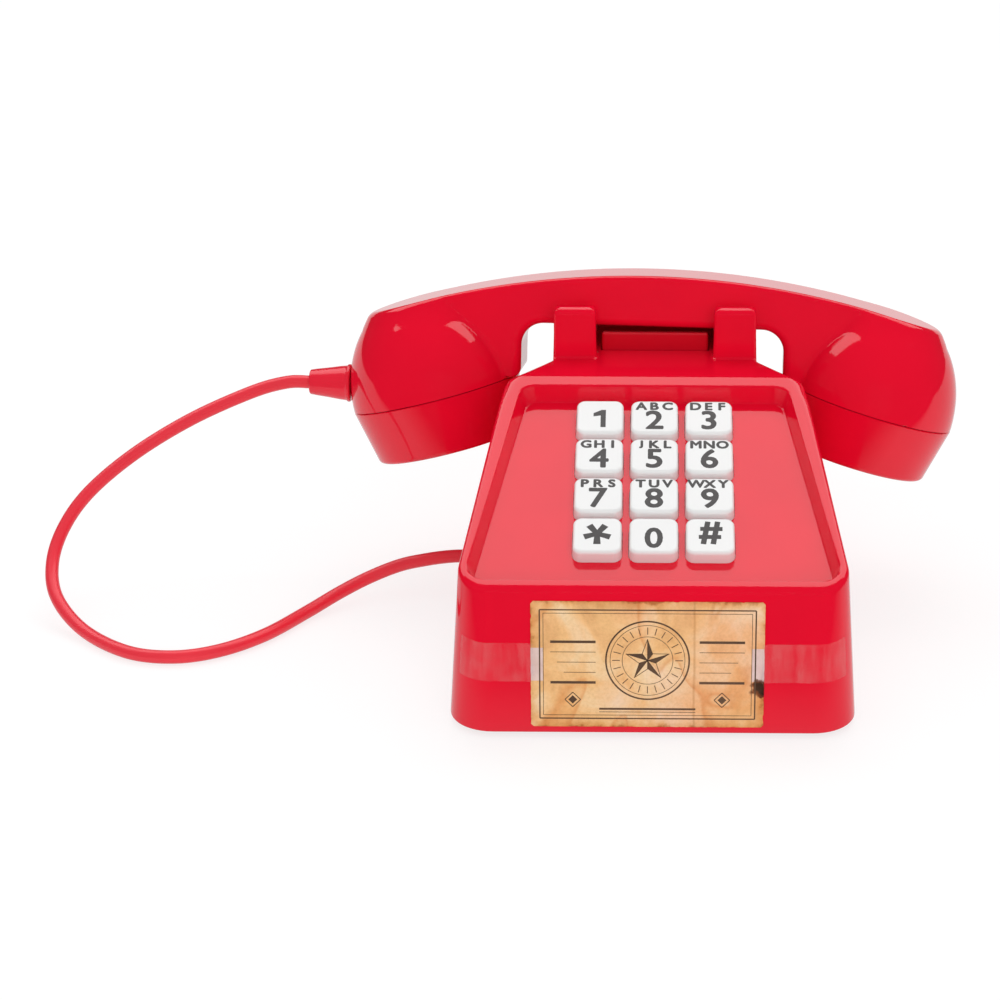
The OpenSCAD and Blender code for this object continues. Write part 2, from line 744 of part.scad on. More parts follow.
module tube(path, r, sides) {
    n = len(path);
    polyhedron(tube_points(path, r, sides), concat(
        [[for (j = [0:sides - 1]) j]],
        [[for (j = [sides - 1:-1:0]) (n - 1) * sides + j]],
        [for (k = [0:n - 2]) for (j = [0:sides - 1])
            let(a = k * sides + j, b = k * sides + (j + 1) % sides)
            each [[a, a + sides, b + sides], [a, b + sides, b]]]));
}

spring_turns = 6;
spring_r = 4;
spring_wire = 0.45;
spring_z0 = bracket_top + spring_wire + 0.05;
spring_z1 = hook_under_z - hook_lip_t - spring_wire - 0.05;
module hook_spring() {
    steps = 12 * spring_turns;
    path = [for (k = [0:steps])
        [spring_r * cos(30 * k), slot_y + spring_r * sin(30 * k), lerp(spring_z0, spring_z1, k / steps)]];
    color("#b8b8bc") tube(path, spring_wire, 6);
}

module cord_clamp() {
    color("#303034")
        difference() {
            translate([clamp_x - 4, cord_entry_y - 6, cover_top]) cube([8, 12, cord_entry_z + 5 - cover_top]);
            translate([clamp_x - 5, cord_entry_y, cord_entry_z]) rotate([0, 90, 0])
                cylinder(r = cord_d / 2 + fit, h = 10, $fn = 32);
        }
}

// The cord's centre line from the handset's end to the clamp inside the base
cord_route = [
    [-127.8, 54.2, 71.2], [-136, 54, 71.1], [-149, 52.5, 67.7], [-171, 48, 58.7],
    [-191.2, 40, 48.2], [-207, 31, 36.9], [-215.6, 22, 26.6], [-218.6, 11, 17.1],
    [-215.1, -2, 9.4], [-203.4, -16, 3.4], [-185.7, -31, 2.6], [-168.8, -35, 2.6],
    [-153.2, -30, 2.6], [-138.4, -17.3, 2.6], [-125.4, 1, 2.8], [-114.8, 12, 5.2],
    [-104.4, 18, 8.6], [-93.3, 20, 12.6], [-83.5, 20, 15], [-75, 20, 16.3], [-67, 20, 16.6],
    [-46, 20, 16.6]];
cord_steps = 3;

function spline(p0, p1, p2, p3, t) = 0.5 * (2 * p1 + (p2 - p0) * t
    + (2 * p0 - 5 * p1 + 4 * p2 - p3) * t * t + (3 * p1 - p0 - 3 * p2 + p3) * t * t * t);
function smooth_route(p) = let(n = len(p)) concat(
    [for (k = [0:n - 2]) for (j = [0:cord_steps - 1])
        spline(p[max(k - 1, 0)], p[k], p[k + 1], p[min(k + 2, n - 1)], j / cord_steps)],
    [p[n - 1]]);

module cord() {
    color("#d80c2c") tube(smooth_route(cord_route), cord_d / 2, 8);
}

module label_card() {
    color("#e6b478")
        translate([card_shift - card_w / 2, -base_depth / 2, foot_gap])
            rotate([-face_lean, 0, 0])
                translate([0, -card_t - fit, card_up / cos(face_lean)])
                    cube([card_w, card_t, card_h]);
}

// A strip that lies on the front face and runs round the corner on one side
module tape(sx, start_x) {
    h0 = tape_up * cos(face_lean) / (panel_front_z - foot_gap);
    h1 = (tape_up + tape_h) * cos(face_lean) / (panel_front_z - foot_gap);
    flat = [start_x, -base_depth / 2, start_x, panel_y0, 0];
    steps = 8;
    function strip(inset) = concat([[flat[0], flat[1] + inset, flat[2], flat[3] + inset, 0]],
        [for (k = [0:steps]) front_station(-90 + tape_wrap * k / steps, -90 + tape_wrap * k / steps,
            inset)]);
    near = strip(-fit);
    out = strip(-fit - tape_t);
    points = [for (k = [0:len(near) - 1]) each [
        station_point(near[k], h0), station_point(near[k], h1),
        station_point(out[k], h1), station_point(out[k], h0)]];
    n = len(near);
    color("#f0a0a0", 0.5)
        scale([sx, 1, 1])
            polyhedron(points, concat([[0, 1, 2], [0, 2, 3]],
                [let(e = 4 * (n - 1)) each [[e + 3, e + 2, e + 1], [e + 3, e + 1, e]]],
                [for (k = [0:n - 2]) for (j = [0:3])
                    let(a = 4 * k + j, b = 4 * k + (j + 1) % 4)
                    each [[a, a + 4, b + 4], [a, b + 4, b]]]));
}

module tape_left() {
    tape(-1, card_w / 2 - card_shift + 0.4);
}

module tape_right() {
    tape(1, card_w / 2 + card_shift + 0.4);
}

// One key: rounded cap through the panel, flange under the floor, plunger over the dome
module key(col, row) {
    top = key_rise - recess_depth;
    edge = 1;
    color("#fafafa")
        on_panel()
            translate([key_x[col], key_y(row), 0]) {
                translate([0, 0, flange_top - 0.1])
                    linear_extrude(top - edge - flange_top + 0.1)
                        polygon(rounded_square(key_w, key_w, key_corner_r));
                hull() {
                    translate([0, 0, top - edge])
                        linear_extrude(0.01) polygon(rounded_square(key_w, key_w, key_corner_r));
                    translate([0, 0, top - 0.3])
                        linear_extrude(0.01) polygon(rounded_square(key_w - 0.8, key_w - 0.8, key_corner_r));
                    translate([0, 0, top - 0.01])
                        linear_extrude(0.01) polygon(rounded_square(key_w - 2, key_w - 2, key_corner_r));
                }
                translate([-key_flange_w / 2, -key_flange_w / 2, flange_under])
                    cube([key_flange_w, key_flange_w, key_flange_t]);
                translate([-3, -3, plunger_under]) cube([6, 6, flange_under - plunger_under + 0.1]);
            }
}

module in_handset() {
    translate([handset_x, handset_y, handset_z])
        rotate([-handset_lean, handset_roll, handset_yaw]) children();
}

// Frame of one cup: its origin is the seam's centre and its Z runs up the cup's axis
module in_cup(sx) {
    translate([sx * cup_spacing / 2, 0, -seam_drop]) rotate([0, sx * cup_tilt, 0]) children();
}

module dome(r, h) {
    steps = 20;
    rotate_extrude($fn = 72)
        polygon(concat([[0, 0]], [for (k = [0:steps])
            let(a = 90 * k / steps) [k == steps ? 0 : r * cos(a), h * sin(a)]]));
}

bar_end = 100.5;
bar_taper = 18;
module bar(inset) {
    seam_in = -seam_drop + (cup_spacing / 2 - arch_half) * tan(cup_tilt) + inset;
    z0 = -handle_t + inset;
    x_arch = arch_half + inset;
    arch = [for (k = [0:6]) let(a = 90 * k / 6)
        [x_arch - arch_r + arch_r * sin(a), z0 - arch_r + arch_r * cos(a)]];
    right = concat([[0, z0]], arch, [[x_arch, seam_in], [x_arch + 14, seam_in - 4], [bar_end - 10, -30],
        [bar_end, -22], [bar_end, 5]]);
    left = [for (k = [len(right) - 1:-1:1]) [-right[k][0], right[k][1]]];
    half_w = handle_w / 2 - inset;
    end_x = bar_end - inset;
    intersection() {
        rotate([90, 0, 0])
            linear_extrude(2 * half_w, center = true) polygon(concat(right, left));
        translate([0, 0, -80])
            linear_extrude(100)
                polygon([for (q = [0:3]) for (k = [0:7])
                    let(a = 90 * q + 90 * k / 7, s = q == 0 || q == 3 ? 1 : -1)
                    [s * (end_x - bar_taper) + bar_taper * cos(a), half_w * sin(a)]]);
    }
}

module top_limit(r) {
    translate([0, 0, -handle_top_r]) rotate([90, 0, 0]) cylinder(r = r, h = 90, center = true, $fn = 360);
}

cup_bore_r = cup_d / 2 - handset_wall;
relief_len = 15.3;
relief_big_d = 13.9;
relief_small_d = 9.1;
relief_spigot_d = 8;
relief_z = -44.4;
relief_x = cup_spacing / 2 + cup_d / 2 * 1.004;

module handset_shell() {
    color("#e60c2e")
        in_handset()
            difference() {
                intersection() {
                    union() {
                        bar(0);
                        for (sx = [-1, 1]) in_cup(sx) dome(cup_d / 2, dome_h);
                    }
                    top_limit(handle_top_r);
                }
                difference() {
                    intersection() {
                        union() {
                            bar(handset_wall);
                            for (sx = [-1, 1])
                                in_cup(sx) dome(cup_d / 2 - handset_wall, dome_h - handset_wall);
                        }
                        top_limit(handle_top_r - handset_wall);
                    }
                    for (sx = [-1, 1])
                        in_cup(sx) translate([0, 0, weight_z + weight_h]) cylinder(d = 9, h = 40, $fn = 32);
                }
                for (sx = [-1, 1])
                    in_cup(sx) {
                        translate([0, 0, -20]) cylinder(r = cup_bore_r, h = 20 + 5, $fn = 72);
                        translate([0, 0, weight_z + weight_h - 1])
                            cylinder(r = screw_d / 2 + screw_gap, h = 7, $fn = 32);
                    }
                translate([-relief_x - 5, 0, relief_z]) rotate([0, 90, 0])
                    cylinder(d = relief_spigot_d + 2 * fit, h = 20, $fn = 32);
            }
}

weight_z = 13;
module handset_weights() {
    color("#77777c")
        in_handset()
            for (sx = [-1, 1])
                in_cup(sx)
                    difference() {
                        translate([0, 0, weight_z]) cylinder(d = weight_d, h = weight_h, $fn = 48);
                        translate([0, 0, weight_z - 1])
                            cylinder(r = screw_d / 2 + screw_gap, h = weight_h + 2, $fn = 32);
                    }
}

module weight_screws() {
    color("#9a9a9a")
        in_handset()
            for (sx = [-1, 1])
                in_cup(sx) translate([0, 0, weight_z]) screw(weight_h + 5, inner_head_d, inner_head_h);
}

seam_gap = 0.25;
cap_wall = 2.4;
cap_floor_z = -cap_h + cap_wall;
module cap_body() {
    seam_r = cup_d / 2;
    round_r = 2;
    rotate_extrude($fn = 72)
        polygon(concat(
            [[0, -cap_h], [cap_face_r - round_r, -cap_h]],
            [for (k = [1:4]) let(a = -90 + 75 * k / 4)
                [cap_face_r - round_r + round_r * cos(a), -cap_h + round_r + round_r * sin(a)]],
            [[seam_r, -seam_gap], [cup_bore_r - 0.1, -seam_gap], [cup_bore_r - 0.1, 3.5],
                [cup_bore_r - 2, 3.5], [cup_bore_r - 2, -seam_gap - 2], [cap_face_r - cap_wall - 1, cap_floor_z],
                [0, cap_floor_z]]));
}

module cap_holes(rings, gap, d) {
    translate([0, 0, -cap_h - 1]) cylinder(d = d, h = 6, $fn = 24);
    for (k = [1:rings]) for (j = [0:6 * k - 1])
        let(a = 60 * j / k)
        translate([gap * k * cos(a), gap * k * sin(a), -cap_h - 1]) cylinder(d = d, h = 6, $fn = 24);
}

module earpiece_cap() {
    color("#e60c2e")
        in_handset() in_cup(-1)
            difference() {
                cap_body();
                cap_holes(2, 6, 2.6);
            }
}

module mouthpiece_cap() {
    color("#e60c2e")
        in_handset() in_cup(1)
            difference() {
                cap_body();
                cap_holes(1, 6, 2.6);
            }
}

module earpiece_capsule() {
    color("#8a8a8e")
        in_handset() in_cup(-1)
            translate([0, 0, cap_floor_z]) cylinder(d = earpiece_d, h = earpiece_h, $fn = 72);
}

module microphone_capsule() {
    color("#b9b9bd")
        in_handset() in_cup(1)
            translate([0, 0, cap_floor_z]) cylinder(d = microphone_d, h = microphone_h, $fn = 48);
}

module strain_relief() {
    color("#d80c2c")
        in_handset()
            translate([-relief_x - 0.3, 0, relief_z]) rotate([0, -90, 0])
                rotate_extrude($fn = 48)
                    polygon([[0, -6], [relief_spigot_d / 2, -6], [relief_spigot_d / 2, 0],
                        [relief_big_d / 2, 0], [relief_big_d / 2, 1.4], [relief_big_d / 2 - 0.4, 1.8],
                        [relief_small_d / 2, relief_len], [0, relief_len]]);
}

module key_1() { key(0, 3); }
module key_2() { key(1, 3); }
module key_3() { key(2, 3); }
module key_4() { key(0, 2); }
module key_5() { key(1, 2); }
module key_6() { key(2, 2); }
module key_7() { key(0, 1); }
module key_8() { key(1, 1); }
module key_9() { key(2, 1); }
module key_star() { key(0, 0); }
module key_0() { key(1, 0); }
module key_hash() { key(2, 0); }

housing();
bottom_cover();
rubber_feet();
battery_door();
door_screw();
batteries();
battery_contacts();
cover_screws();
keypad_membrane();
keypad_board();
board_screws();
main_board();
main_board_screws();
base_speaker();
speaker_magnet();
hook_bar();
hook_bracket();
hook_spring();
hook_switch();
bracket_screws();
cord_clamp();
cord();
label_card();
tape_left();
tape_right();
key_1();
key_2();
key_3();
key_4();
key_5();
key_6();
key_7();
key_8();
key_9();
key_star();
key_0();
key_hash();
handset_shell();
earpiece_cap();
mouthpiece_cap();
earpiece_capsule();
microphone_capsule();
handset_weights();
weight_screws();
strain_relief();
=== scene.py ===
import math
import bpy
import numpy as np
from mathutils import Matrix, Vector, noise
from mathutils.geometry import delaunay_2d_cdt


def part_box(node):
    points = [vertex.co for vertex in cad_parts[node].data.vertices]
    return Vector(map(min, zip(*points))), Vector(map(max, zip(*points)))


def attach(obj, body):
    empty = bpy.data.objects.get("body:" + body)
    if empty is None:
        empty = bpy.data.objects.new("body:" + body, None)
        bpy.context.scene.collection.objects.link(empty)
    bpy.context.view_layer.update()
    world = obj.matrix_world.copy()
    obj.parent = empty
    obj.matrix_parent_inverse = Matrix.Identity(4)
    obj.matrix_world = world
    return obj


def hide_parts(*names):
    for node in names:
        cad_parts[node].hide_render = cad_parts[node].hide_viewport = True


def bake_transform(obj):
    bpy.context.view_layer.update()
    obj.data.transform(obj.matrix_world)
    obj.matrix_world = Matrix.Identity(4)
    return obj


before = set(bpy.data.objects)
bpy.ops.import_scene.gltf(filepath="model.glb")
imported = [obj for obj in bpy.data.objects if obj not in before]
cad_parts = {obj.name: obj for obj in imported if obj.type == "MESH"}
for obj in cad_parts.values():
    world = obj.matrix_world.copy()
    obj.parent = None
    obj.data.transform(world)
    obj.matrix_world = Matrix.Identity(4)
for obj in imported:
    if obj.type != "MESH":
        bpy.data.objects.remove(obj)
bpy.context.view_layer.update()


# Camera. It looks down at the telephone from straight in front, held a hair off level, and its
# lens is shifted so that the base stands right of centre and the cord's loop fits on the left.
camera_height_angle = math.radians(24)
camera_roll = math.radians(0.35)
camera_distance = 1.007
camera_aim = Vector((0, 0, 0.05))
camera_sensor = 36
camera_lens = 102
camera_shift = (-0.154, -0.004)
camera_near = 0.05


def in_scene(name, data):
    made = bpy.data.objects.new(name, data)
    bpy.context.scene.collection.objects.link(made)
    return made


camera_back = Vector((0, -math.cos(camera_height_angle), math.sin(camera_height_angle)))
camera_data = bpy.data.cameras.new("camera")
camera_data.sensor_width = camera_sensor
camera_data.lens = camera_lens
camera_data.shift_x, camera_data.shift_y = camera_shift
camera_data.clip_start = camera_near
camera = in_scene("camera", camera_data)
camera.location = camera_aim + camera_back * camera_distance
camera.rotation_euler = ((-camera_back).to_track_quat("-Z", "Y").to_matrix()
                         @ Matrix.Rotation(camera_roll, 3, "Z")).to_euler()
bpy.context.scene.camera = camera


# Cord. A straight cable in a smooth red vinyl jacket runs from the handset's strain relief in one
# open loop on the table and back up into a hole in the base's left side, where a clamp holds it.
cord_diameter = 0.0048
cord_route = [
    (-0.1278, 0.0542, 0.0712), (-0.136, 0.054, 0.0711), (-0.149, 0.0525, 0.0677),
    (-0.171, 0.048, 0.0587), (-0.1912, 0.040, 0.0482), (-0.207, 0.031, 0.0369),
    (-0.2156, 0.022, 0.0266), (-0.2186, 0.011, 0.0171), (-0.2151, -0.002, 0.0094),
    (-0.2034, -0.016, 0.0034), (-0.1857, -0.031, 0.0026), (-0.1688, -0.035, 0.0026),
    (-0.1532, -0.030, 0.0026), (-0.1384, -0.0173, 0.0026), (-0.1254, 0.001, 0.0028),
    (-0.1148, 0.012, 0.0052), (-0.1044, 0.018, 0.0086), (-0.0933, 0.020, 0.0126),
    (-0.0835, 0.020, 0.015), (-0.075, 0.020, 0.0163), (-0.067, 0.020, 0.0166),
    (-0.046, 0.020, 0.0166)]
cord_red = (0.92, 0.032, 0.056)
cord_polish = 0.3
cord_steps = 10
cord_sides = 20
cord_plugged = 0.0025


def smooth_route(points, steps):
    """A smooth line through all the points, in equal steps from each one to the next."""
    points = [Vector(p) for p in points]
    last = len(points) - 1
    line = []
    for k in range(last):
        a, b, c, d = points[max(k - 1, 0)], points[k], points[k + 1], points[min(k + 2, last)]
        for j in range(steps):
            t = j / steps
            line.append(0.5 * (2 * b + (c - a) * t + (2 * a - 5 * b + 4 * c - d) * t * t
                               + (3 * b - a - 3 * c + d) * t * t * t))
    line.append(points[last])
    return line


def circle(radius, steps, centre=(0, 0)):
    return [(centre[0] + radius * math.cos(a), centre[1] + radius * math.sin(a))
            for a in (2 * math.pi * j / steps for j in range(steps))]


def tube_rings(path, radius, sides):
    rings = []
    side = Vector((0, 1, 0))
    for k, point in enumerate(path):
        along = (path[min(k + 1, len(path) - 1)] - path[max(k - 1, 0)]).normalized()
        side = (side - along * side.dot(along)).normalized()
        up = along.cross(side)
        rings.append([point + side * x + up * y for x, y in circle(radius, sides)])
    return rings


class Skin:
    """Vertices and faces of one piece, gathered ring by ring."""

    def __init__(self):
        self.points = []
        self.faces = []

    def ring(self, points):
        start = len(self.points)
        self.points += [tuple(p) for p in points]
        return list(range(start, len(self.points)))

    def band(self, low, high):
        """Faces between two closed rings; one of them may be a single point, repeated."""
        for j in range(len(low)):
            k = (j + 1) % len(low)
            corners = (low[j], low[k], high[k], high[j])
            self.faces.append(tuple(dict.fromkeys(corners)))

    def bands(self, rows):
        for low, high in zip(rows, rows[1:]):
            self.band(low, high)

    def loft(self, rings):
        rows = [self.ring(r) for r in rings]
        self.bands(rows)
        self.faces += [tuple(reversed(rows[0])), tuple(rows[-1])]

    def fill(self, loops, flip=False, extra=()):
        """Triangles between an outer loop and the holes in it, seen from above."""
        ids = [i for loop in loops for i in loop]
        flat = [Vector(self.points[i][:2]) for i in ids]
        place = {i: n for n, i in enumerate(ids)}
        edges = [(place[a], place[b]) for loop in loops for a, b in zip(loop, loop[1:] + loop[:1])]
        edges += [(place[a], place[b]) for a, b in extra]
        _, _, triangles, origins, _, _ = delaunay_2d_cdt(flat, edges, [], 0, 1e-9)
        corners = np.array(flat)
        sides = np.array(edges[:len(ids)])
        start, end = corners[sides[:, 0]], corners[sides[:, 1]]
        for triangle in triangles:
            names = [origins[n][0] for n in triangle]
            middle = sum((corners[n] for n in names), np.zeros(2)) / 3
            crossing = (start[:, 1] > middle[1]) != (end[:, 1] > middle[1])
            rise = np.where(crossing, end[:, 1] - start[:, 1], 1)
            at = start[:, 0] + (middle[1] - start[:, 1]) / rise * (end[:, 0] - start[:, 0])
            if np.count_nonzero(crossing & (at > middle[0])) % 2:
                names = names[::-1] if flip else names
                self.faces.append(tuple(ids[n] for n in names))

    def piece(self, name, material, place=None, smooth=math.radians(35), weighted=True):
        mesh = bpy.data.meshes.new(name)
        mesh.from_pydata(self.points, [], self.faces)
        if place is not None:
            mesh.transform(place)
        mesh.validate()
        mesh.polygons.foreach_set("use_smooth", [True] * len(mesh.polygons))
        mesh.set_sharp_from_angle(angle=smooth)
        mesh.materials.append(material)
        made = in_scene(name, mesh)
        if weighted:
            weigh = made.modifiers.new("weigh", "WEIGHTED_NORMAL")
            weigh.keep_sharp = True
            weigh.weight = 80
        return made


def feed(node, inputs):
    """Gives each input a value, or a link where what it gets is a socket."""
    for name, value in inputs.items():
        if isinstance(value, bpy.types.NodeSocket):
            node.id_data.links.new(value, node.inputs[name])
        else:
            node.inputs[name].default_value = value


def added(tree, kind, inputs=None, **settings):
    node = tree.nodes.new(kind)
    for name, value in settings.items():
        setattr(node, name, value)
    feed(node, inputs or {})
    return node


class Look:
    """A material, with a short call for each kind of node that the materials here share."""

    def __init__(self, name):
        self.material = bpy.data.materials.new(name)
        self.material.use_nodes = True
        self.tree = self.material.node_tree
        self.shader = self.tree.nodes["Principled BSDF"]
        self.where = added(self.tree, "ShaderNodeTexCoord").outputs["Object"]

    def noise(self, scale, detail, rough=0.5, distort=0.0, at=None):
        return added(self.tree, "ShaderNodeTexNoise", {
            "Vector": self.where if at is None else at, "Scale": scale, "Detail": detail,
            "Roughness": rough, "Distortion": distort}).outputs["Fac"]

    def ramp(self, source, stops):
        made = added(self.tree, "ShaderNodeValToRGB", {"Fac": source})
        while len(made.color_ramp.elements) < len(stops):
            made.color_ramp.elements.new(0.5)
        for element, (position, tone) in zip(made.color_ramp.elements, stops):
            element.position = position
            element.color = (*tone, 1)
        return made.outputs["Color"]

    def spread(self, source, low, high, start=0.0, end=1.0):
        return added(self.tree, "ShaderNodeMapRange", {
            "Value": source, "From Min": start, "From Max": end,
            "To Min": low, "To Max": high}).outputs["Result"]

    def maths(self, operation, *values):
        return added(self.tree, "ShaderNodeMath", dict(enumerate(values)),
                     operation=operation).outputs[0]

    def mixed(self, kind, factor, a, b):
        return added(self.tree, "ShaderNodeMix", {0: factor, 6: a, 7: b},
                     data_type="RGBA", blend_type=kind).outputs[2]

    def bumped(self, height, strength, distance):
        bump = added(self.tree, "ShaderNodeBump", {
            "Height": height, "Strength": strength, "Distance": distance})
        feed(self.shader, {"Normal": bump.outputs["Normal"]})


def plastic(name, colour, roughness, wave=0.00003, wave_scale=22.0, deeper=0.94, grain_scale=700):
    """Moulded plastic: a faint drift in colour, polish that varies, and slight moulding waves."""
    look = Look(name)
    drift = look.noise(scale=35, detail=2)
    tones = [(0.3, [c * deeper for c in colour]), (0.7, colour)]
    grain = look.noise(grain_scale, detail=3)
    feed(look.shader, {
        "IOR": 1.5, "Base Color": look.ramp(drift, tones),
        "Roughness": look.spread(grain, low=roughness * 0.8, high=roughness * 1.25)})
    look.bumped(look.noise(wave_scale, detail=0), strength=1, distance=wave)
    return look.material


cord_path = smooth_route(cord_route, cord_steps)
cord_path[0] = cord_path[0] + (cord_path[0] - cord_path[1]).normalized() * cord_plugged
cord_vinyl = plastic("cord_vinyl", cord_red, cord_polish, wave=0.00002, wave_scale=120)
cord_skin = Skin()
cord_skin.loft(tube_rings(cord_path, cord_diameter / 2, cord_sides))
cord = cord_skin.piece("cord_jacket", cord_vinyl, weighted=False)
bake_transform(cord)
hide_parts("cord")


# Strain relief. A soft vinyl cone with a collar plugs into the left cup and keeps the cord from
# kinking; it is turned here in the resting handset's frame, which every handset piece shares.
lean = math.radians(14)
yaw = math.radians(-2.5)
roll = math.radians(0.6)
handle_width = 0.032
handle_thick = 0.0184
neck_half = 0.0365
panel_slope = math.radians(21.8)
panel_length = 0.1017
panel_front_height = 0.0529
deck_height = panel_front_height + panel_length * math.sin(panel_slope)
lug_front = 0.0299
lug_thick = 0.0065
lug_gap = 0.0014
seat_gap = 0.0003
rest_shift = 0.0001
handset_rest = Vector((
    rest_shift,
    lug_front + lug_thick + lug_gap + handle_width / 2 * math.cos(lean)
    + handle_thick * math.sin(lean) + neck_half * math.sin(-yaw),
    deck_height + seat_gap + handle_width / 2 * math.sin(lean)
    + handle_thick * math.cos(lean) + neck_half * math.sin(roll)))
in_handset = (Matrix.Translation(handset_rest) @ Matrix.Rotation(yaw, 4, "Z")
              @ Matrix.Rotation(roll, 4, "Y") @ Matrix.Rotation(-lean, 4, "X"))
cup_radius = 0.0313
cup_reach = 0.0796
cup_tilt = math.radians(15.5)
seam_drop = 0.0463
relief_profile = [
    (0, -0.006), (0.0039, -0.006), (0.0039, -0.0002), (0.0066, 0), (0.00695, 0.0004),
    (0.00695, 0.0011), (0.0065, 0.0016), (0.0064, 0.0022), (0.0062, 0.0040), (0.0055, 0.0085),
    (0.0049, 0.0130), (0.00455, 0.0150), (0.0042, 0.0153), (0.0025, 0.0153), (0, 0.0150)]
relief_steps = 48
cup_bulge = 1.004
relief_gap = 0.0003
relief_out = cup_reach + cup_radius * cup_bulge + relief_gap
relief_drop = 0.0444
relief_red = (0.88, 0.018, 0.045)
relief_polish = 0.16


def turned(skin, profile, steps):
    """Rings of a profile of (radius, height) turned about Z, with poles where the radius is 0."""
    rows = [skin.ring([(x, y, height) for x, y in circle(radius, steps)]) if radius else
            skin.ring([(0, 0, height)]) * steps for radius, height in profile]
    skin.bands(rows)
    return rows


relief_skin = Skin()
turned(relief_skin, relief_profile, relief_steps)
relief_place = (in_handset @ Matrix.Translation((-relief_out, 0, -relief_drop))
                @ Matrix.Rotation(-math.pi / 2, 4, "Y"))
relief_vinyl = plastic("relief_vinyl", relief_red, relief_polish, wave=0.00002, wave_scale=90)
relief = relief_skin.piece("strain_relief_cone", relief_vinyl, relief_place)
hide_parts("strain_relief")
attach(relief, "handset")


# Handset shell. One glossy moulding: a flat-sided handle with an arched top runs into two domed
# cups, with a small fillet where each dome leaves the handle's side. Its skin is traced from the
# distance to those solids, and each point is drawn onto them exactly.
handle_top_radius = 0.312
dome_height = 0.038
arch_half = 0.0475
arch_corner = 0.008
handle_end = 0.1023
handle_taper = 0.018
edge_round = 0.0016
crease_round = 0.0011
outer_crease_round = 0.006
crease_opens = (0.010, 0.018)
traced_cell = 0.0008
arch_edge = 0.003
handle_bottom = 0.038
chin_at = (0.066, 0.040)
chin_slant = (0.4627, 0.8868)
seam_band = 0.7 * traced_cell
trace_low = (-0.1145, -0.0335, -0.0575)
trace_high = (0.1145, 0.0335, 0.0025)
shell_red = (0.87, 0.0036, 0.0270)
shell_polish = 0.07


def round_and(a, b, r):
    return np.minimum(np.maximum(a, b), -r) + np.hypot(np.maximum(a + r, 0), np.maximum(b + r, 0))


def round_or(a, b, r):
    return -round_and(-a, -b, r)


def cup_axes(p, side):
    x = p[..., 0] - side * cup_reach
    z = p[..., 2] + seam_drop
    c, s = math.cos(side * cup_tilt), math.sin(side * cup_tilt)
    return x * c - z * s, p[..., 1], x * s + z * c


def handle_distance(p):
    x, y, z = np.abs(p[..., 0]), p[..., 1], p[..., 2]
    along = np.maximum(x - (handle_end - handle_taper), 0) / handle_taper
    half = handle_width / 2
    flank = (np.hypot(along, y / half) - 1) * half
    qx = x - (arch_half - arch_corner)
    qz = z + handle_thick + arch_corner
    void = (np.hypot(np.maximum(qx, 0), np.maximum(qz, 0))
            + np.minimum(np.maximum(qx, qz), 0) - arch_corner)
    low = np.maximum(-(z + handle_bottom),
                     (x - chin_at[0]) * chin_slant[0] - (z + chin_at[1]) * chin_slant[1])
    return round_and(np.maximum(flank, low), -void, arch_edge)


def dome_distance(p, side):
    halves = (cup_radius, cup_radius, dome_height)
    axes = cup_axes(p, side)
    k0 = np.sqrt(sum((v / half) ** 2 for v, half in zip(axes, halves)))
    k1 = np.sqrt(sum((v / half ** 2) ** 2 for v, half in zip(axes, halves)))
    return k0 * (k0 - 1) / np.maximum(k1, 1e-9)


def wall_distance(p):
    body = handle_distance(p)
    for side in (-1, 1):
        inward = -side * cup_axes(p, side)[0]
        sharp = np.clip((inward - crease_opens[0]) / (crease_opens[1] - crease_opens[0]), 0, 1)
        round_here = outer_crease_round + (crease_round - outer_crease_round) * sharp
        body = round_or(body, dome_distance(p, side), round_here)
    top = np.hypot(p[..., 0], p[..., 2] + handle_top_radius) - handle_top_radius
    return round_and(body, top, edge_round)


def seam_distance(p):
    """How far a point is below the seam of the cup on its own side."""
    return np.where(p[..., 0] < 0, -cup_axes(p, -1)[2], -cup_axes(p, 1)[2])


def shell_distance(p):
    return np.maximum(wall_distance(p), seam_distance(p))


def slope(field, p):
    """The field's direction of growth at each point, of length 1."""
    step = 0.00005
    out = np.empty_like(p)
    for axis in range(3):
        shift = np.zeros(3)
        shift[axis] = step
        out[:, axis] = field(p + shift) - field(p - shift)
    return out / np.maximum(np.linalg.norm(out, axis=1, keepdims=True), 1e-12)


def drawn_onto(field, p, rounds=4):
    longest = 0.0006
    for _ in range(rounds):
        p = p - slope(field, p) * np.clip(field(p), -longest, longest)[:, None]
    return p


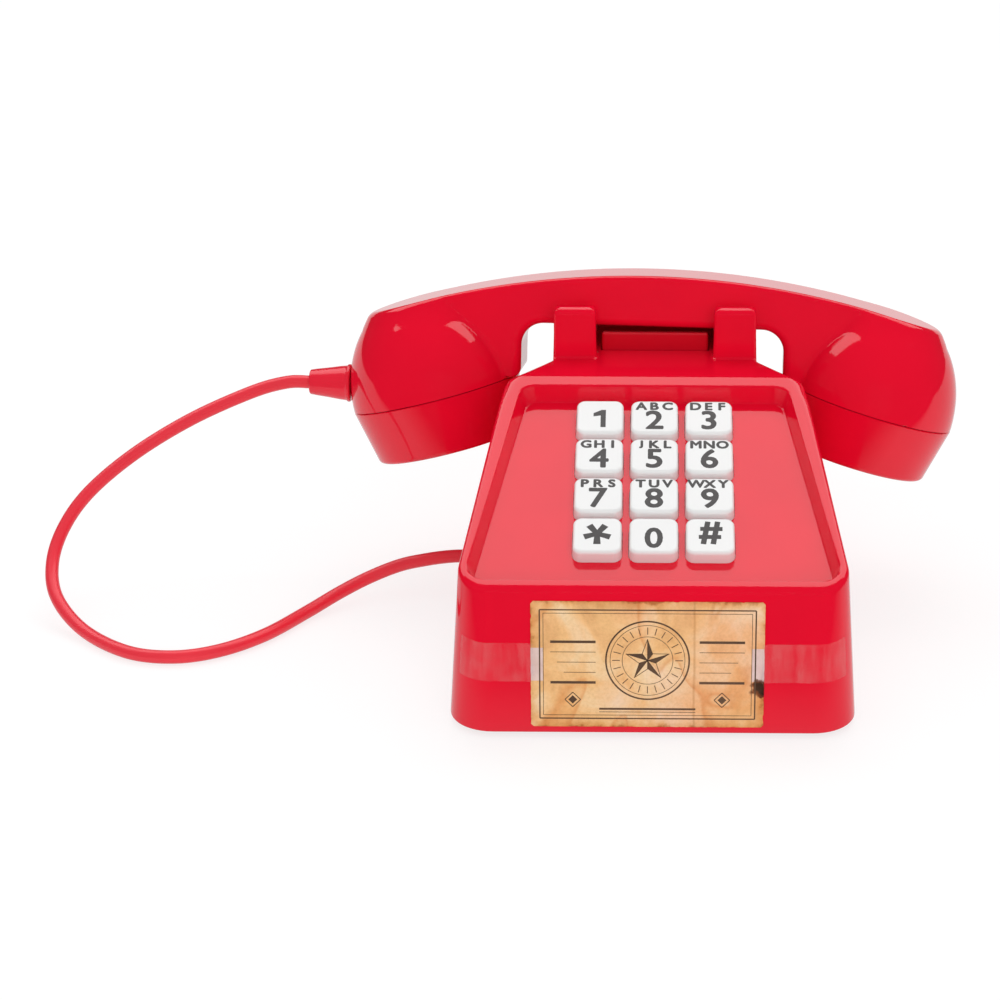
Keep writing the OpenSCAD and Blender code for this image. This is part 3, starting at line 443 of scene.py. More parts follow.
def traced_surface(field, low, high, cell):
    """Points and square faces of the surface where the field is 0, one point in a crossed cell."""
    axes = [np.arange(low[a], high[a] + cell, cell) for a in range(3)]
    value = field(np.stack(np.meshgrid(*axes, indexing="ij"), -1))
    inside = value < 0
    shape = np.array(inside.shape) - 1
    total = np.zeros((*shape, 3))
    count = np.zeros(shape)

    def beside(cross, others, du, dv):
        spot = cross.copy()
        spot[:, others[0]] -= du
        spot[:, others[1]] -= dv
        return tuple(spot.T)

    crossings = []
    for axis in range(3):
        a, b = (tuple(part if n == axis else slice(None) for n in range(3))
                for part in (slice(None, -1), slice(1, None)))
        cross = np.argwhere(inside[a] != inside[b])
        va, vb = value[a][tuple(cross.T)], value[b][tuple(cross.T)]
        at = np.stack([axes[n][cross[:, n]] for n in range(3)], 1)
        at[:, axis] += cell * va / (va - vb)
        others = [n for n in range(3) if n != axis]
        inner = np.all([(cross[:, n] > 0) & (cross[:, n] < shape[n]) for n in others], axis=0)
        cross = cross[inner]
        crossings.append((axis, others, cross, va[inner] < 0))
        for du, dv in ((0, 0), (0, 1), (1, 0), (1, 1)):
            spot = beside(cross, others, du, dv)
            np.add.at(total, spot, at[inner])
            np.add.at(count, spot, 1)
    used = count > 0
    index = -np.ones(shape, int)
    index[used] = np.arange(np.count_nonzero(used))
    faces = []
    for axis, others, cross, leaves in crossings:
        corners = np.stack([index[beside(cross, others, du, dv)]
                            for du, dv in ((0, 0), (1, 0), (1, 1), (0, 1))], 1)
        turned_over = leaves if axis == 1 else ~leaves
        corners[turned_over] = corners[turned_over][:, ::-1]
        faces.append(corners)
    return total[used] / count[used][:, None], np.concatenate(faces)


def piece_with_normals(name, points, faces, normals, material, place):
    mesh = bpy.data.meshes.new(name)
    mesh.from_pydata(points.tolist(), [], faces.tolist())
    mesh.polygons.foreach_set("use_smooth", [True] * len(mesh.polygons))
    mesh.normals_split_custom_set(normals.tolist())
    mesh.transform(place)
    mesh.materials.append(material)
    return in_scene(name, mesh)


shell_points, shell_faces = traced_surface(shell_distance, trace_low, trace_high, traced_cell)
shell_points = drawn_onto(shell_distance, shell_points)
# Points near the seam are drawn onto its edge, and normals there are read a little way inside
# each face, so that the edge stays sharp.
near_seam = ((np.abs(seam_distance(shell_points)) < seam_band)
             & (np.abs(wall_distance(shell_points)) < seam_band))
edge_points = shell_points[near_seam]
for _ in range(6):
    edge_points = drawn_onto(seam_distance, drawn_onto(wall_distance, edge_points, 1), 1)
shell_points[near_seam] = edge_points
corner_points = shell_points[shell_faces]
face_middles = corner_points.mean(axis=1, keepdims=True)
on_edge = near_seam[shell_faces]
drawn_in = corner_points + (face_middles - corner_points) * 0.3
sampled = np.where(on_edge[..., None], drawn_in, corner_points)
shell_normals = slope(shell_distance, sampled.reshape(-1, 3))
shell_plastic = plastic("shell_red", shell_red, shell_polish)
handset_shell = piece_with_normals("handset_moulding", shell_points, shell_faces, shell_normals,
                                   shell_plastic, in_handset)
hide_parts("handset_shell")
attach(handset_shell, "handset")


# Earpiece and mouthpiece caps. Each is a turned cup with a conical side and a flat face with sound
# holes; it screws into the shell at the seam, and leaves a hairline gap there.
cap_height = 0.0208
cap_face_radius = 0.0272
cap_wall = 0.0024
face_edge = 0.001
cap_round = 0.002
cap_polish = 0.08
cap_steps = 128
seam_gap = 0.00025
seam_bevel = (0.0004, 0.0006)
collar_radius = cup_radius - 0.0031
collar_wall = 0.002
collar_height = 0.0035
hole_radius = 0.0013
hole_pitch = 0.006
hole_steps = 20


def sound_cap(name, node, side, hole_rings):
    skin = Skin()
    bore = collar_radius - collar_wall
    profile = []
    for k in range(9):
        a = math.radians(-90 + 75 * k / 8)
        profile.append((cap_face_radius - cap_round + cap_round * math.cos(a),
                        -cap_height + cap_round + cap_round * math.sin(a)))
    profile += [(cup_radius, -seam_bevel[1]), (cup_radius - seam_bevel[0], -seam_gap),
                (collar_radius, -seam_gap), (collar_radius, collar_height), (bore, collar_height),
                (bore, -seam_gap - collar_wall),
                (cap_face_radius - cap_wall - face_edge, -cap_height + cap_wall)]
    rows = turned(skin, profile, cap_steps)
    centres = [(0, 0)]
    for k in range(1, hole_rings + 1):
        centres += circle(hole_pitch * k, 6 * k)
    inner_holes, outer_holes = [], []
    for centre in centres:
        around = circle(hole_radius, hole_steps, centre)
        low = skin.ring([(x, y, -cap_height) for x, y in around])
        high = skin.ring([(x, y, -cap_height + cap_wall) for x, y in around])
        skin.band(high, low)
        outer_holes.append(low)
        inner_holes.append(high)
    skin.fill([rows[0]] + outer_holes, flip=True)
    skin.fill([rows[-1]] + inner_holes)
    place = (in_handset @ Matrix.Translation((side * cup_reach, 0, -seam_drop))
             @ Matrix.Rotation(side * cup_tilt, 4, "Y"))
    cap = skin.piece(name, cap_plastic, place, smooth=math.radians(40))
    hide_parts(node)
    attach(cap, "handset")


cap_plastic = plastic("cap_red", shell_red, cap_polish)
sound_cap("earpiece_cover", "earpiece_cap", -1, 2)
sound_cap("mouthpiece_cover", "mouthpiece_cap", 1, 1)


# Base housing. One glossy moulding lofted from its foot to the sloping rim, the deck and the
# narrow neck, with rounded edges; the key panel is sunk into it, and inside it is a hollow shell.
foot_corner = 0.015
foot_corner_back = 0.020
foot_half_front = 0.0685
foot_half_back = 0.0635
foot_gap = 0.002
housing_wall = 0.0024
panel_depth = panel_length * math.cos(panel_slope)
panel_half_front = 0.0663
panel_half_back = 0.0525
panel_set_back = 0.0052
panel_corner = 0.010
shoulder_round = 0.010
neck_round = 0.008
neck_corner = 0.009
shoulder_length = 0.017
base_half_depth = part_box("housing")[1][1]
panel_front = -base_half_depth + panel_set_back
panel_back = panel_front + panel_depth
neck_front = panel_back + shoulder_length
neck_set_back = 0.004
neck_back = base_half_depth - neck_set_back
rim_width = 0.0044
recess_depth = 0.0063
recess_draft = math.radians(20)
panel_floor = 0.0022
rim_edge = 0.0019
shoulder_edge = 0.0048
foot_edge = 0.0011
foot_edge_share = 0.02
shoulder_edge_share = 0.7
side_angle = math.atan((panel_half_front - panel_half_back) / panel_depth)
shoulder_end = math.pi / 2 - math.atan(shoulder_length / (panel_half_back - neck_half))
panel_corner_in = panel_corner * (math.tan(side_angle) + 1 / math.cos(side_angle))
front_corner = (
    (foot_half_front - foot_corner, -base_half_depth + foot_corner, foot_corner),
    (panel_half_front - panel_corner_in, panel_front + panel_corner, panel_corner))
back_corner = (
    (foot_half_back - foot_corner_back, base_half_depth - foot_corner_back, foot_corner_back),
    (neck_half - neck_corner, neck_back - neck_corner, neck_corner))
corner_steps = 12
wall_levels = 30
lining_levels = 14
front_station_x = (0.03, 0.0288)
corner_sweep = 91.6
side_stations = (0.17, 0.28, 0.4, 0.52, 0.64, 0.76, 0.87)
neck_stations = (0.0365, 0.043, 0.050, 0.057, 0.064)
flare_from, flare_to, flare_share = 0.27, 0.47, 0.72
flare_starts = 0.020
widening_starts = 0.016
quadrants = ((1, 1), (-1, 1), (-1, -1), (1, -1))


def mix(a, b, t):
    return a + (b - a) * t


def ease(a, b, x):
    t = min(1, max(0, (x - a) / (b - a)))
    return t * t * (3 - 2 * t)


def panel_height(y):
    return panel_front_height + (y - panel_front) * math.tan(panel_slope)


def top_height(y):
    return min(panel_height(y), deck_height)


def foot_half(y):
    return mix(foot_half_front, foot_half_back, (y + base_half_depth) / (2 * base_half_depth))


def front_station(x, top_x, inset):
    return x, -base_half_depth + inset, top_x, panel_front + inset, 0


def corner_station(circles, a, b, inset, flare=0):
    """A station at angle a round the foot's circle and at angle b round the top's."""
    spots = []
    for (x, y, radius), angle in zip(circles, (a, b)):
        spots += [x + (radius - inset) * math.cos(angle), y + (radius - inset) * math.sin(angle)]
    return (*spots, flare)


def right_stations(inset):
    """Points of the foot's outline tied to the top's, from the front's middle to the back's. Each
    is (foot x, foot y, top x, top y, flare)."""
    found = [front_station(0, 0, inset), front_station(*front_station_x, inset)]
    for k in range(corner_steps + 1):
        a = math.radians(-90 + corner_sweep * k / corner_steps)
        b = -math.pi / 2 + (math.pi / 2 + side_angle) * k / corner_steps
        found.append(corner_station(front_corner, a, b, inset))

    def beside(x, y):
        flare = ease(panel_back - flare_starts, neck_front, y)
        found.append((foot_half(y) - inset, y, x, y, flare))

    def round_centre(centre, radius, a):
        beside(centre[0] + radius * math.cos(a), centre[1] + radius * math.sin(a))

    for t in side_stations:
        beside(mix(panel_half_front, panel_half_back, t) - inset, panel_front + t * panel_depth)
    bend = (side_angle + shoulder_end) / 2
    reach = shoulder_round / math.cos(bend - side_angle)
    centre = (panel_half_back - reach * math.cos(bend), panel_back - reach * math.sin(bend))
    radius = shoulder_round - inset
    crease = math.asin((panel_back - centre[1]) / radius)
    for k in range(4):
        round_centre(centre, radius, mix(side_angle, crease, k / 4))
    crease_at = len(found)
    beside(centre[0] + radius * math.cos(crease), panel_back)
    for k in range(1, 5):
        round_centre(centre, radius, mix(crease, shoulder_end, k / 4))
    bend = shoulder_end / 2
    centre = (neck_half + neck_round, neck_front + neck_round * math.tan(bend))
    for k in range(7):
        round_centre(centre, -(neck_round + inset), shoulder_end * (1 - k / 6))
    for y in neck_stations:
        beside(neck_half - inset, y)
    for k in range(corner_steps + 1):
        a = math.pi / 2 * k / corner_steps
        found.append(corner_station(back_corner, a, a, inset, flare=1))
    found.append((0, base_half_depth - inset, 0, neck_back - inset, 1))
    return found, crease_at


def stations(inset):
    right, _ = right_stations(inset)
    return right + [(-s[0], s[1], -s[2], *s[3:]) for s in right[-2:0:-1]]


def wall_point(s, h, ceiling=top_height):
    """The point of a station's wall at a share of its height, 0 at the foot and 1 at the top."""
    flared = flare_share * ease(flare_from, flare_to, h) + (1 - flare_share) * h
    return Vector((mix(s[0], s[2], mix(h, flared, s[4])), mix(s[1], s[3], h),
                   mix(foot_gap, ceiling(s[3]), h)))


def rounded_edge(before, corner, after, steps):
    """Points of an arc that leaves the first side at one point and joins the other at another."""
    weight = 0.72
    for k in range(1, steps + 1):
        s = k / steps
        a, b, c = (1 - s) ** 2, 2 * weight * s * (1 - s), s * s
        yield (before * a + corner * b + after * c) / (a + b + c)


def on_panel(x, along, up):
    """A point of the sloping panel's own frame: across, up the slope, and square to it."""
    c, s = math.cos(panel_slope), math.sin(panel_slope)
    return Vector((x, panel_front + along * c - up * s, panel_front_height + along * s + up * c))


def recess_loop(inset, up, radius):
    steps = 8
    half_front, half_back = panel_half_front - inset - radius, panel_half_back - inset - radius
    near, far = inset + radius, panel_length - inset - radius
    lean_out = math.atan((half_front - half_back) / (far - near))
    right = [(half_front, near, mix(-math.pi / 2, lean_out, k / steps)) for k in range(steps + 1)]
    right += [(half_back, far, mix(lean_out, math.pi / 2, k / steps)) for k in range(steps + 1)]
    spots = [(x + radius * math.cos(a), y + radius * math.sin(a)) for x, y, a in right]
    spots += [(-x, y) for x, y in reversed(spots)]
    return [on_panel(x, y, up) for x, y in spots]


def rounded_rectangle(half_x, half_y, radius, steps):
    return [(sx * (half_x - radius) + radius * math.cos(a),
             sy * (half_y - radius) + radius * math.sin(a))
            for quarter, (sx, sy) in enumerate(quadrants)
            for a in (math.pi / 2 * (quarter + k / steps) for k in range(steps + 1))]


key_pitch = 0.019
first_row = 0.0264
key_rows = [first_row + key_pitch * row for row in range(4)]
key_columns = [-key_pitch, 0, key_pitch]
opening_half = 0.0085
opening_round = 0.0033

# The outer wall, from the foot's rounded edge up to the rounded edge of the rim and deck.
housing_skin = Skin()
outer = stations(0)
widening = [ease(panel_back - widening_starts, panel_back, s[3])
            * (1 - ease(panel_back, neck_front, s[3])) for s in outer]
edged = [[mix(a, b, w) for a, b in zip(near, far)]
         for near, far, w in zip(stations(rim_edge), stations(shoulder_edge), widening)]
footed = stations(foot_edge)
sharp = [wall_point(s, 1) for s in outer]
settled = [Vector((s[2], s[3], top_height(s[3]))) for s in edged]
drops = [mix(rim_edge, shoulder_edge * shoulder_edge_share, w)
         / (wall_point(s, 1) - wall_point(s, 0)).length for s, w in zip(outer, widening)]
foot_arcs = [rounded_edge(wall_point(f, 0), wall_point(s, 0), wall_point(s, foot_edge_share), 4)
             for f, s in zip(footed, outer)]
top_arcs = [rounded_edge(wall_point(s, 1 - d), p, q, 6)
            for s, d, p, q in zip(outer, drops, sharp, settled)]
rings = [[wall_point(f, 0) for f in footed], *zip(*foot_arcs)]
for level in range(2, wall_levels + 1):
    rings.append([wall_point(s, (1 - d) * level / wall_levels) for s, d in zip(outer, drops)])
rows = [housing_skin.ring(ring) for ring in rings + list(zip(*top_arcs))]
housing_skin.bands(rows)

# The recess: its rim's inner edge, its sloping wall and the bend into its floor.
rim_bend = 0.0006
floor_bend = 0.0005
recess_round = 0.0065
recess_tightens = 0.317
tilt_in = Vector((math.sin(recess_draft), -math.cos(recess_draft)))
rim_corner = Vector((rim_width, 0))
foot_of_wall = Vector((rim_width + recess_depth * math.tan(recess_draft), -recess_depth))
recess_profile = [rim_corner - Vector((rim_bend, 0))]
recess_profile += rounded_edge(recess_profile[0], rim_corner, rim_corner + tilt_in * rim_bend, 3)
recess_profile.append(foot_of_wall - tilt_in * floor_bend)
recess_profile += rounded_edge(recess_profile[-1], foot_of_wall,
                               foot_of_wall + Vector((floor_bend, 0)), 4)
recess_rows = [housing_skin.ring(recess_loop(p[0], p[1], recess_round + p[1] * recess_tightens))
               for p in recess_profile]
housing_skin.bands(recess_rows)

# The floor of the recess, with an opening for each key.
floor_holes, ceiling_holes = [], []
for row in key_rows:
    for column in key_columns:
        loop = rounded_rectangle(opening_half, opening_half, opening_round, 5)
        top, under = (housing_skin.ring([on_panel(column + x, row + y, up) for x, y in loop])
                      for up in (-recess_depth, -recess_depth - panel_floor))
        housing_skin.band(top, under)
        floor_holes.append(top)
        ceiling_holes.append(under)
housing_skin.fill([recess_rows[-1]] + floor_holes)

ceiling_drop = (recess_depth + panel_floor) / math.cos(panel_slope)


def ceiling_height(y):
    return min(panel_height(y) - ceiling_drop, deck_height - housing_wall)


# The hollow inside, the hook bar's slot, and the faces that close the wall above and below.
lining = stations(housing_wall)
inner_rows = [housing_skin.ring([wall_point(s, level / lining_levels, ceiling_height)
                                 for s in lining]) for level in range(lining_levels + 1)]
housing_skin.bands(inner_rows)
bar_half = (0.0192, 0.003)
slot_gap = 0.0003
slot_half = [half + slot_gap for half in bar_half]
slot_behind_lugs = 0.0049
slot_middle = lug_front + lug_thick + slot_behind_lugs
slot_rows = [housing_skin.ring([(sx * slot_half[0], slot_middle + sy * slot_half[1], z)
                                for sx, sy in quadrants])
             for z in (deck_height, deck_height - housing_wall)]
housing_skin.band(*slot_rows)
crease_at = right_stations(0)[1]
crease_edge = [(rows[-1][crease_at], rows[-1][len(outer) - crease_at])]
housing_skin.fill([rows[-1], recess_rows[0], slot_rows[0]], extra=crease_edge)
housing_skin.fill([inner_rows[-1], slot_rows[1]] + ceiling_holes, flip=True)
housing_skin.band(inner_rows[0], rows[0])


def block(skin, centre, half, corner, profile, place=None, flush=None, steps=5):
    """Closed rounded block: rings of (inset, height), each as (x, y) round its centre. With flush,
    nothing reaches farther from the middle than that."""
    least_corner = 0.0002
    rings = []
    for inset, height in profile:
        ring = []
        for x, y in rounded_rectangle(half[0] - inset, half[1] - inset,
                                      max(corner - inset, least_corner), steps):
            x, y = centre[0] + x, centre[1] + y
            if flush is not None:
                x = min(flush, max(-flush, x))
            z = height(y) if callable(height) else height
            ring.append(place(x, y, z) if place else (x, y, z))
        rings.append(ring)
    skin.loft(rings)


def topped(base, top, edge, steps, start=0.0):
    """Profile of a block from its base to a rounded top edge; top may be a function of y."""
    profile = [(start, base)]
    for k in range(steps + 1):
        a = math.pi / 2 * k / steps
        down = edge * (1 - math.sin(a))
        height = (lambda y, d=down: top(y) - d) if callable(top) else top - down
        profile.append((start + edge * (1 - math.cos(a)), height))
    return profile


# Cradle. Two lugs in front of the handle and two lower ones behind it stand on the neck, with a
# sloping saddle between them under the handle; they belong to the housing's moulding.
lug_half_width = 0.0078
lug_height = 0.0185
lug_corner = 0.0013
lug_top_edge = 0.0026
lug_foot = 0.0011
lug_draft = 0.00025
lug_root = 0.003
back_lug_thick = 0.0055
back_lug_height = 0.013
back_lug_gap = 0.0006
saddle_corner = 0.0008
saddle_edge = 0.0006
yaw_shift = neck_half * math.sin(-yaw)
back_lug_front = handset_rest.y + handle_width / 2 * math.cos(lean) + yaw_shift + back_lug_gap
saddle_root = 0.001
saddle_in = 0.0002
saddle_front = lug_front + lug_thick - 0.0005
saddle_back = handset_rest.y - 0.002


def saddle_top(y):
    """The height just below the handle's sloping underside."""
    return (handset_rest.z - handle_thick / math.cos(lean) - neck_half * math.sin(roll)
            - (y - handset_rest.y + yaw_shift) * math.tan(lean) - seat_gap)


for side in (-1, 1):
    middle = side * (neck_half - lug_half_width)
    for front, thick, height in ((lug_front, lug_thick, lug_height),
                                 (back_lug_front, back_lug_thick, back_lug_height)):
        profile = [(-lug_foot, deck_height - lug_root)]
        profile += [(-lug_foot * (1 - math.sin(a)), deck_height + lug_foot * (1 - math.cos(a)))
                    for a in (math.pi / 2 * k / 4 for k in range(5))]
        profile += topped(deck_height + height * 0.5, deck_height + height, lug_top_edge,
                          steps=6, start=lug_draft)
        block(housing_skin, (middle, front + thick / 2), (lug_half_width, thick / 2), lug_corner,
              profile, flush=neck_half)
    block(housing_skin, (middle, (saddle_front + saddle_back) / 2),
          (lug_half_width - saddle_in, (saddle_back - saddle_front) / 2), saddle_corner,
          topped(deck_height - saddle_root, saddle_top, saddle_edge, steps=3))
housing = housing_skin.piece("base_housing", shell_plastic, smooth=math.radians(19))
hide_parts("housing")
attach(housing, "base")


# Hook bar. It stands in a slot between the lugs, under the handle, and springs up when the handset
# is lifted; its flange under the deck stops it.
bar_base = deck_height - 0.011
bar_root = 0.001
bar_sink = 0.0008
bar_edge = 0.0009
bar_flange = (0.0024, 0.002)
bar_flange_corner = 0.0006
# Painted shade: the bar is the housing's red plastic, but its red is set darker than the housing's
# to stand in for the shade that falls on it under the handle.
bar_red_painted_shade = (0.62, 0.003, 0.016)
hook_painted_shade_plastic = plastic("bar_red_painted_shade", bar_red_painted_shade, 0.22)
hook_skin = Skin()
block(hook_skin, (0, slot_middle), bar_half, bar_edge,
      topped(bar_base - bar_root, lambda y: saddle_top(y) - bar_sink, bar_edge, steps=4))
block(hook_skin, (0, slot_middle), [half + bar_flange[0] for half in bar_half], bar_flange_corner,
      [(0, bar_base - bar_flange[1]), (0, bar_base)])
hook_bar = hook_skin.piece("hook_bar_moulding", hook_painted_shade_plastic, smooth=math.radians(30))
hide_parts("hook_bar")
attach(hook_bar, "hook")


# Keys. Twelve white push buttons with rounded tops and slightly flared sides, each with a flange
# under the panel's floor and a plunger, and a printed legend of its own.
key_half = 0.0082
key_corner = 0.003
key_top = -0.00165
key_edge = 0.0012
key_flare = 0.00022
key_clear = 0.00005
key_seat = -recess_depth - panel_floor - key_clear
flange_half = 0.0092
flange_corner = 0.0008
flange_thick = 0.0012
flange_low = key_seat - flange_thick
plunger_half = 0.003
plunger_corner = 0.0005
plunger_length = 0.0026
overlap = 0.0001
key_names = [["star", "0", "hash"], ["7", "8", "9"], ["4", "5", "6"], ["1", "2", "3"]]
key_letters = {"2": "ABC", "3": "DEF", "4": "GHI", "5": "JKL", "6": "MNO", "7": "PRS", "8": "TUV",
               "9": "WXY"}
key_white = plastic("key_white", (0.89, 0.89, 0.885), 0.16, wave=0.000012, wave_scale=90,
                    deeper=0.975)
legend_ink = plastic("legend_ink", (0.06, 0.055, 0.055), 0.5, wave=0.00001, wave_scale=200,
                     deeper=0.8)
legend_lift = 0.00002
layer_step = 0.0000007
zero_print = dict(height=0.0088, centre=(0, -0.0013), swell=0.00033)
digit_print = dict(height=0.0087, centre=(0, -0.0017), swell=0.00034, stretch=1.04)
letter_height = 0.0034
letter_swell = 0.00025
letter_stretch = 1.1
letter_pitch = 0.0046
letter_middle = 0.0051
star_middle = 0.0004
star_reach = 0.0046
star_stretch = 1.04
star_arm = (0.0018, 0.0025)
hash_stroke = 0.00185
hash_lines = [((-0.0024, -0.0041), (-0.0008, 0.0063)), ((0.0009, -0.0041), (0.0025, 0.0063)),
              ((-0.0039, -0.0008), (0.0036, -0.0008)), ((-0.0034, 0.0029), (0.0041, 0.0029))]
one_stem = [(0.0002, -0.0055), (0.0020, -0.0055), (0.0020, 0.0031), (0.0006, 0.0031),
            (0.0002, 0.0015)]
one_flag = [(0.0002, 0.0003), (0.0006, 0.0031), (-0.0023, 0.0015), (-0.0023, -0.0002)]


def printed(text, height, centre, swell, stretch=1.0):
    """Faces of one printed sign; the copies set round it at the swell make its strokes bolder."""
    letters = bpy.data.curves.new("sign", "FONT")
    letters.body = text
    letters.resolution_u = 4
    holder = in_scene("sign", letters)
    graph = bpy.context.evaluated_depsgraph_get()
    mesh = bpy.data.meshes.new_from_object(holder.evaluated_get(graph))
    spots = np.array([v.co[:2] for v in mesh.vertices])
    faces = [tuple(f.vertices) for f in mesh.polygons]
    bpy.data.objects.remove(holder)
    low, high = spots.min(axis=0), spots.max(axis=0)
    scale = height / (high[1] - low[1])
    spots = (spots - (low + high) / 2) * scale * (stretch, 1) + centre
    return [((spots + step).tolist(), faces) for step in [(0, 0)] + circle(swell, 6)]


def bar_between(a, b, thick_a, thick_b):
    """The four corners of a straight stroke with square ends."""
    a, b = Vector(a), Vector(b)
    way = (b - a).normalized()
    off = Vector((-way.y, way.x))
    return [tuple(p) for p in (a - off * thick_a / 2, b - off * thick_b / 2,
                               b + off * thick_b / 2, a + off * thick_a / 2)]


def legend_of(name):
    """Pairs of (points, faces) that make one key's print."""
    if name in key_letters:
        drawn = printed(name, **digit_print)
        for letter, across in zip(key_letters[name], (-letter_pitch, 0, letter_pitch)):
            drawn += printed(letter, letter_height, (across, letter_middle), letter_swell,
                             letter_stretch)
        return drawn
    if name == "0":
        return printed(name, **zero_print)
    if name == "1":
        outlines = [one_stem, one_flag]
    elif name == "hash":
        outlines = [bar_between(a, b, hash_stroke, hash_stroke) for a, b in hash_lines]
    else:
        tips = [(star_reach * math.cos(a), star_reach * star_stretch * math.sin(a) + star_middle)
                for a in (math.radians(-90 + 72 * k) for k in range(5))]
        outlines = [bar_between((0, star_middle), tip, *star_arm) for tip in tips]
    return [(outline, [tuple(range(len(outline)))]) for outline in outlines]


def on_key(column, row):
    return lambda x, y, z: on_panel(column + x, row + y, z)


for names, row in zip(key_names, key_rows):
    for name, column in zip(names, key_columns):
        key_skin = Skin()
        place = on_key(column, row)
        cap_profile = [(-key_flare, key_seat - overlap), (-key_flare, -recess_depth)]
        cap_profile += topped(key_top - key_edge * 1.6, key_top, key_edge, steps=6)
        block(key_skin, (0, 0), (key_half, key_half), key_corner, cap_profile, place, steps=6)
        block(key_skin, (0, 0), (flange_half, flange_half), flange_corner,
              [(0, flange_low), (0, key_seat)], place, steps=2)
        block(key_skin, (0, 0), (plunger_half, plunger_half), plunger_corner,
              [(0, flange_low - plunger_length), (0, flange_low + overlap)], place, steps=2)
        key = key_skin.piece("key_" + name + "_button", key_white, smooth=math.radians(32))
        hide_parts("key_" + name)
        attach(key, "key_" + name + "_body")
        legend_skin = Skin()
        for layer, (spots, faces) in enumerate(legend_of(name)):
            height = key_top + legend_lift + layer * layer_step
            ids = legend_skin.ring([place(x, y, height) for x, y in spots])
            legend_skin.faces += [tuple(ids[i] for i in face) for face in faces]
        legend = legend_skin.piece("key_" + name + "_legend", legend_ink, weighted=False)
        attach(legend, "key_" + name + "_body")


# Front label. A worn card of aged paper, stuck low on the front face, with a plain printed
# ornament of the builder's own: a double rule, a star medallion and ruled lines beside it.
card_half = (0.03875, 0.02225)
card_middle_x = -0.0018
card_lift = 0.00005
card_thick = 0.0003
card_corner = 0.0009
edge_step = 0.000813
taped_in = 0.0042
taped_half = 0.0058
stain_spot = (card_half[0] - 0.0012, -0.0082)
stain_reach = 0.005
stain_ragged = 0.0045
edge_browned = (-0.0006, 0.0026)
edge_ragged = 0.007
fold_x = 0.0145
fold_half = 0.0006
fold_wander = 0.0016
card_relief = 0.00012
unchanged = (1.0, 1.0, 1.0)
paper_tones = [(0.30, (0.80, 0.42, 0.170)), (0.46, (0.95, 0.56, 0.245)),
               (0.58, (0.98, 0.68, 0.380)), (0.72, (0.98, 0.76, 0.540))]
rosy_tones = [(0.42, unchanged), (0.62, (1.0, 0.90, 1.0))]
fibre_tones = [(0.3, (0.90, 0.88, 0.84)), (0.6, unchanged)]
streak_tones = [(0.0, unchanged), (0.485, unchanged), (0.505, (0.86, 0.62, 0.44)),
                (0.535, (0.97, 0.86, 0.74)), (0.60, unchanged)]
edge_tones = [(0.0, (0.55, 0.32, 0.16)), (0.35, (0.90, 0.78, 0.62)), (1.0, unchanged)]
film_tones = [(0.3, (0.66, 0.52, 0.56)), (0.7, (0.80, 0.68, 0.72))]
stain_tones = [(0.30, (0.03, 0.015, 0.012)), (0.55, (0.25, 0.12, 0.07)), (0.72, unchanged)]
fold_tones = [(0.0, (0.74, 0.64, 0.54)), (1.0, unchanged)]
face_lean = math.atan(panel_set_back / (panel_front_height - foot_gap))
card_foot = 0.0026
card_middle_up = card_foot / math.cos(face_lean) + card_half[1]


def on_front(x, up, out):
    """A point of the leaning front face: across, up along it, and out from it."""
    c, s = math.cos(face_lean), math.sin(face_lean)
    return (x, -base_half_depth + up * s - out * c, foot_gap + up * c + out * s)


def on_card(u, v, out):
    return on_front(card_middle_x + u, card_middle_up + v, card_lift + out)


def worn_outline():
    """The card's edge: a rectangle with small corners, frayed by a slow wander and a few nicks."""
    fray_scale = 300
    fray, fine_fray = 0.00022, 0.00009
    nick_depth, nick_above = 0.0026, 0.42
    loop = []
    spots = [Vector((sx * card_half[0], sy * card_half[1]))
             for sx, sy in ((1, -1), (1, 1), (-1, 1), (-1, -1))]
    for k in range(4):
        a, b = spots[k - 1], spots[k]
        way = (b - a).normalized()
        inward = Vector((-way.y, way.x))
        count = round((b - a).length / edge_step)
        for j in range(count + 1):
            p = (a + way * card_corner).lerp(b - way * card_corner, j / count)
            seat = Vector((p.x * fray_scale, p.y * fray_scale, k * 7.1))
            wander = noise.noise(seat) * fray + noise.noise(seat * 3.3) * fine_fray
            dip = noise.noise(seat * 0.9 + Vector((40, 0, 0))) - nick_above
            loop.append(p + inward * (abs(wander) + max(0, dip) * nick_depth))
    return loop


